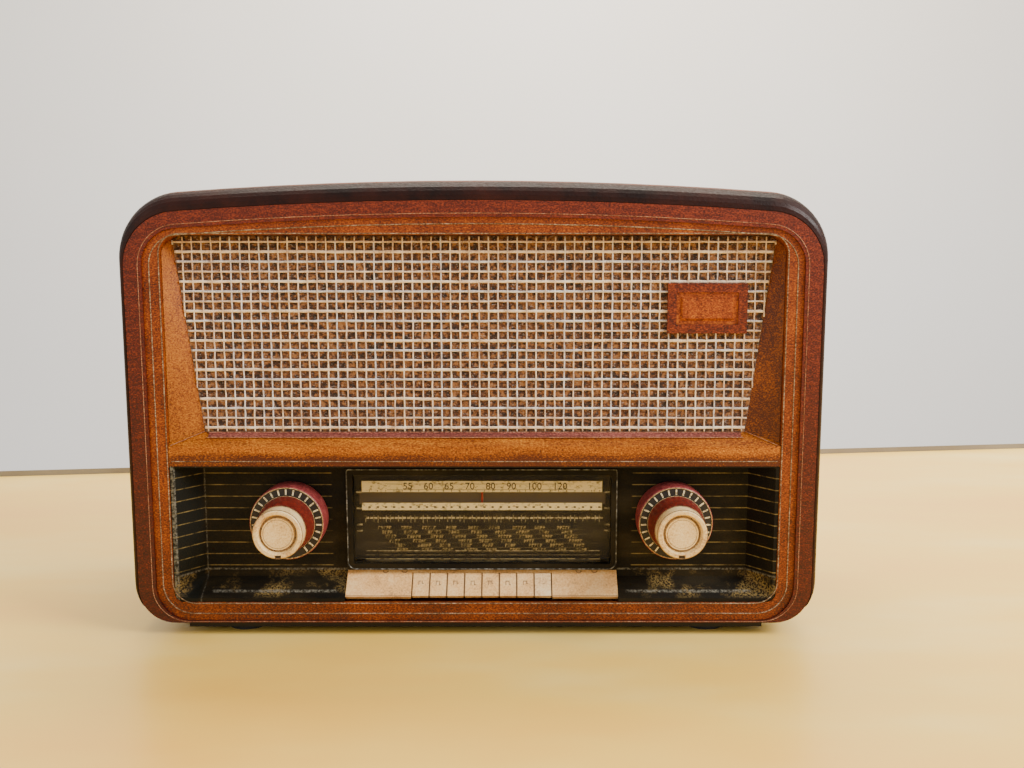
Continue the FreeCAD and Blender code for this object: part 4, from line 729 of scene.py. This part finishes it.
ivory("cream_plastic", (0.80, 0.44, 0.15), (0.92, 0.62, 0.28), False).coat("key_fascia")
key_cream = ivory("key_cream", (0.80, 0.46, 0.165), (0.92, 0.64, 0.30), True)
key_white = ivory("key_white", (0.86, 0.57, 0.27), (0.95, 0.75, 0.44), True)
mark_ink = printed("mark_ink", (0.16, 0.08, 0.035), (0.30, 0.17, 0.08))
for number in range(1, 9):
    node = f"key_{number}"
    (key_white if number == 8 else key_cream).coat(node)
    if number == 8:
        continue
    low, high = box_mm(node)
    middle = (low.x + high.x) / 2
    work = bmesh.new()
    foot = 0.40 + 0.05 * (number % 2)
    shapes = [(-1.6, -1.15, 0.40, 0.55), (-1.6, 0.1 * number - 0.2, 0.53, 0.56), (0.5, 0.95, foot, 0.56),
              (0.5, 1.7, foot, foot + 0.03)]
    for left, right, share_low, share_high in shapes:
        loop = ((left, share_low), (right, share_low), (right, share_high), (left, share_high))
        block(work, *([work.verts.new(at(middle + x, *on_slope(share, lift))) for x, share in loop]
                      for lift in (0.35, 0.48)))
    bmesh.ops.recalc_face_normals(work, faces=work.faces[:])
    finished(f"key_mark_{number}", work, [mark_ink], f"piano_key_{number}", smooth=False)
fascia_low, fascia_high = box_mm("key_fascia")
ticks = []
for x in (fascia_low.x + 24, fascia_low.x + 36, fascia_high.x - 24, fascia_high.x - 14):
    ticks.append([(x + 1.6 * math.cos(t), *on_slope(0.93 - 0.07 * math.sin(t), 0.05))
                  for t in [math.pi * i / 8 for i in range(9)]])
bead("fascia_marks", ticks, 0.34, mark_ink, "cabinet", closed=False)
bottom = [(x, *on_slope(0.03, 0.0)) for x in (fascia_low.x + 0.5, fascia_high.x - 0.5)]
bead("fascia_edge", [bottom], 0.25, mark_ink, "cabinet", closed=False)

# Ring knobs. Maroon outer rings for bass and treble, each with a black scale disc that has
# cream marks all round but for a gap at the bottom, and a thin gilt border.
ring_maroon = stained("ring_maroon", (0.05, 0.006, 0.006), (0.235, 0.029, 0.029), (0.40, 0.09, 0.082),
                      streaks=220.0)
disc_black = printed("scale_black", (0.004, 0.003, 0.003), (0.013, 0.010, 0.008))
scale_cream = printed("scale_cream", (0.26, 0.19, 0.09), (0.76, 0.66, 0.42), (0.34, 0.52))
gilt = stained("gilt_line", (0.12, 0.06, 0.02), (0.40, 0.27, 0.11), (0.68, 0.54, 0.30), streaks=300.0)


def circle(x, depth, z, radius, steps=72):
    """Points round a knob's axis."""
    turns = [2 * math.pi * i / steps for i in range(steps)]
    return [(x + radius * math.cos(t), depth, z + radius * math.sin(t)) for t in turns]


MARKS, FIRST_MARK, MARK_SWEEP, MARK_HALF = 23, -55, 290, 0.48
MARK_INNER, MARK_OUTER, BORDER_RADIUS = 18.1, 21.5, 22.3
for label in ("bass", "treble"):
    body = f"{label}_control"
    ring_maroon.coat(f"{label}_ring")
    disc_black.coat(f"{label}_scale")
    low, high = box_mm(f"{label}_scale")
    x, z, face = (low.x + high.x) / 2, (low.z + high.z) / 2, behind(low)
    work = bmesh.new()
    for i in range(MARKS):
        turn = math.radians(FIRST_MARK + MARK_SWEEP * i / (MARKS - 1))
        spoke = Vector((math.cos(turn), math.sin(turn)))
        square = Vector((-spoke.y, spoke.x)) * MARK_HALF
        loop = [spoke * radius + square * sign
                for radius, sign in ((MARK_INNER, -1), (MARK_OUTER, -1), (MARK_OUTER, 1), (MARK_INNER, 1))]
        block(work, *([work.verts.new(at(x + p.x, depth, z + p.y)) for p in loop]
                      for depth in (face - 0.16, face + 0.1)))
    bmesh.ops.recalc_face_normals(work, faces=work.faces[:])
    finished(f"{label}_marks", work, [scale_cream], body, smooth=False)
    bead(f"{label}_border", [circle(x, face + 0.05, z, BORDER_RADIUS)], 0.3, gilt, body)

# Inner knobs. Red coned hubs for volume and tuning, each with a cream cap: a raised rim,
# a grimy groove, a flat face with a turned line, and a dark index notch.
hub_red = stained("hub_red", (0.036, 0.0012, 0.0004), (0.12, 0.005, 0.0015), (0.25, 0.025, 0.010),
                  streaks=260.0, pores=0.25)
cap_cream = ivory("cap_cream", (0.80, 0.55, 0.23), (0.93, 0.74, 0.40), False)
grime_brown = printed("cap_grime", (0.04, 0.018, 0.007), (0.24, 0.14, 0.06))
for label in ("volume", "tuning"):
    body = f"{label}_control"
    hub_red.coat(f"{label}_knob")
    cap_cream.coat(f"{label}_cap")
    low, high = box_mm(f"{label}_cap")
    x, z, tip = (low.x + high.x) / 2, (low.z + high.z) / 2, behind(low)
    hub = box_mm(f"{label}_knob")[1]
    lines = (("groove_ring", tip + 2.55, 10.5, 0.5), ("face_ring", tip + 1.62, 8.7, 0.14),
             ("rim_ring", tip + 0.95, 14.75, 0.3), ("back_ring", behind(high) - 0.5, 14.95, 0.4))
    for name, depth, radius, thick in lines:
        bead(f"{label}_{name}", [circle(x, depth, z, radius)], thick, grime_brown, body)
    bead(f"{label}_hub_line", [circle(x, behind(hub) - 0.1, z, 17.3)], 0.25, gilt, body)
    slabs(f"{label}_index", [((x - 1.7, x + 1.7), (tip + 1.2, tip + 1.5), (low.z + 0.1, low.z + 2.2), 0, 0)],
          [dark_ink], body)

# Base. A dark stained plinth under the cabinet, on round rubber feet.
plinth_wood = stained("plinth_wood", (0.001, 0.0005, 0.0003), (0.004, 0.0016, 0.001), (0.012, 0.005, 0.003),
                      (0.1, 1, 1), 120.0)
plinth_wood.coat("plinth")


def moulded(name, dark, light, scale, rough, relief=0.4, stretch=(1, 1, 1), **sockets):
    """A plain stuff with mottled colour, uneven gloss and a fine surface."""
    finish = Finish(name, **sockets)
    mottle = finish.noise(scale, stretch, 4.0)
    fine = finish.noise(scale * 6, stretch, 2.0)
    finish.colour(finish.ramp(finish.mix(mottle, 0.6, fine, 0.4), (0.36, dark), (0.64, light)))
    finish.rough(fine, *rough)
    finish.bump(fine, 0.0003, relief)
    return finish


moulded("foot_rubber", (0.008, 0.008, 0.008), (0.03, 0.03, 0.03), 200, (0.7, 0.9)).coat("feet")

# Back and inside timber. A perforated hardboard back on softwood cleats, held by steel screws,
# and the plywood baffle.
moulded("hardboard", (0.10, 0.055, 0.028), (0.24, 0.15, 0.085), 260, (0.6, 0.85), 0.7).coat("back_cover")
softwood = moulded("softwood", (0.36, 0.22, 0.11), (0.62, 0.44, 0.26), 40, (0.6, 0.8), 0.5, (1, 6, 1))
softwood.coat("corner_cleats")
plywood = moulded("plywood", (0.30, 0.19, 0.10), (0.55, 0.40, 0.24), 30, (0.6, 0.8), 0.5, (1, 1, 8))
plywood.coat("baffle_board")
screw_steel = moulded("screw_steel", (0.25, 0.25, 0.25), (0.55, 0.55, 0.54), 300, (0.3, 0.5), Metallic=0.9)
screw_steel.coat("cover_screws", "speaker_screws", "chassis_bolts")

# Tuning drive. An aluminium drum on the capacitor's shaft, two brass pulleys, a waxed cord,
# the plate that carries them, and two scale lamps.
spun_metal = moulded("drum_aluminium", (0.42, 0.42, 0.42), (0.70, 0.70, 0.69), 160, (0.25, 0.45), 0.3,
                     (1, 4, 1), Metallic=0.95)
spun_metal.coat("tuning_drum", "gang_rotor")
zinc = moulded("zinc_plate", (0.30, 0.30, 0.28), (0.52, 0.52, 0.48), 45, (0.35, 0.6), 0.3, Metallic=0.85)
zinc.coat("drive_plate", "key_frame", "gang_frame", "chassis")
brass = moulded("turned_brass", (0.42, 0.27, 0.08), (0.72, 0.52, 0.20), 220, (0.25, 0.45), 0.3, Metallic=0.95)
brass.coat("idler_left", "idler_right", "volume_shaft", "tuning_spindle")
moulded("waxed_cord", (0.20, 0.14, 0.07), (0.46, 0.36, 0.22), 900, (0.6, 0.8), 0.9).coat("dial_cord")
lamps = moulded("lamp_glass", (0.50, 0.42, 0.26), (0.80, 0.72, 0.50), 120, (0.1, 0.3), 0.2, Coat_Weight=0.5)
lamps.coat("dial_lamps")
pots = moulded("potentiometer_can", (0.30, 0.29, 0.26), (0.50, 0.49, 0.44), 140, (0.35, 0.6), Metallic=0.6)
pots.coat("volume_pot", "treble_pot")

# Chassis parts. Laminated iron transformers, silvered glass valves on sockets, waxed cans,
# and moulded sockets for aerial, earth and mains.
iron = moulded("core_iron", (0.03, 0.03, 0.035), (0.12, 0.11, 0.11), 90, (0.5, 0.8), 0.6, (1, 8, 1),
               Metallic=0.5)
iron.coat("transformers")
bulbs = moulded("valve_glass", (0.16, 0.17, 0.18), (0.45, 0.47, 0.48), 70, (0.05, 0.2), 0.1, Coat_Weight=0.6)
bulbs.coat("valves")
cans = moulded("can_aluminium", (0.40, 0.38, 0.34), (0.64, 0.62, 0.58), 110, (0.35, 0.55), Metallic=0.7)
cans.coat("chassis_cans")
bakelite = moulded("bakelite", (0.014, 0.008, 0.006), (0.05, 0.026, 0.018), 130, (0.25, 0.45), 0.3,
                   Coat_Weight=0.4)
bakelite.coat("rear_sockets", "mains_inlet")

# Loudspeaker. A pressed steel basket with a felt-like paper cone and a plated magnet.
moulded("basket_paint", (0.05, 0.06, 0.06), (0.13, 0.15, 0.15), 120, (0.4, 0.6), 0.4).coat("speaker_basket")
moulded("cone_paper", (0.030, 0.026, 0.022), (0.10, 0.085, 0.070), 320, (0.8, 0.95), 0.9).coat("speaker_cone")
plating = moulded("magnet_plating", (0.30, 0.30, 0.29), (0.52, 0.52, 0.50), 150, (0.3, 0.5), 0.3,
                  Metallic=0.8)
plating.coat("speaker_magnet")
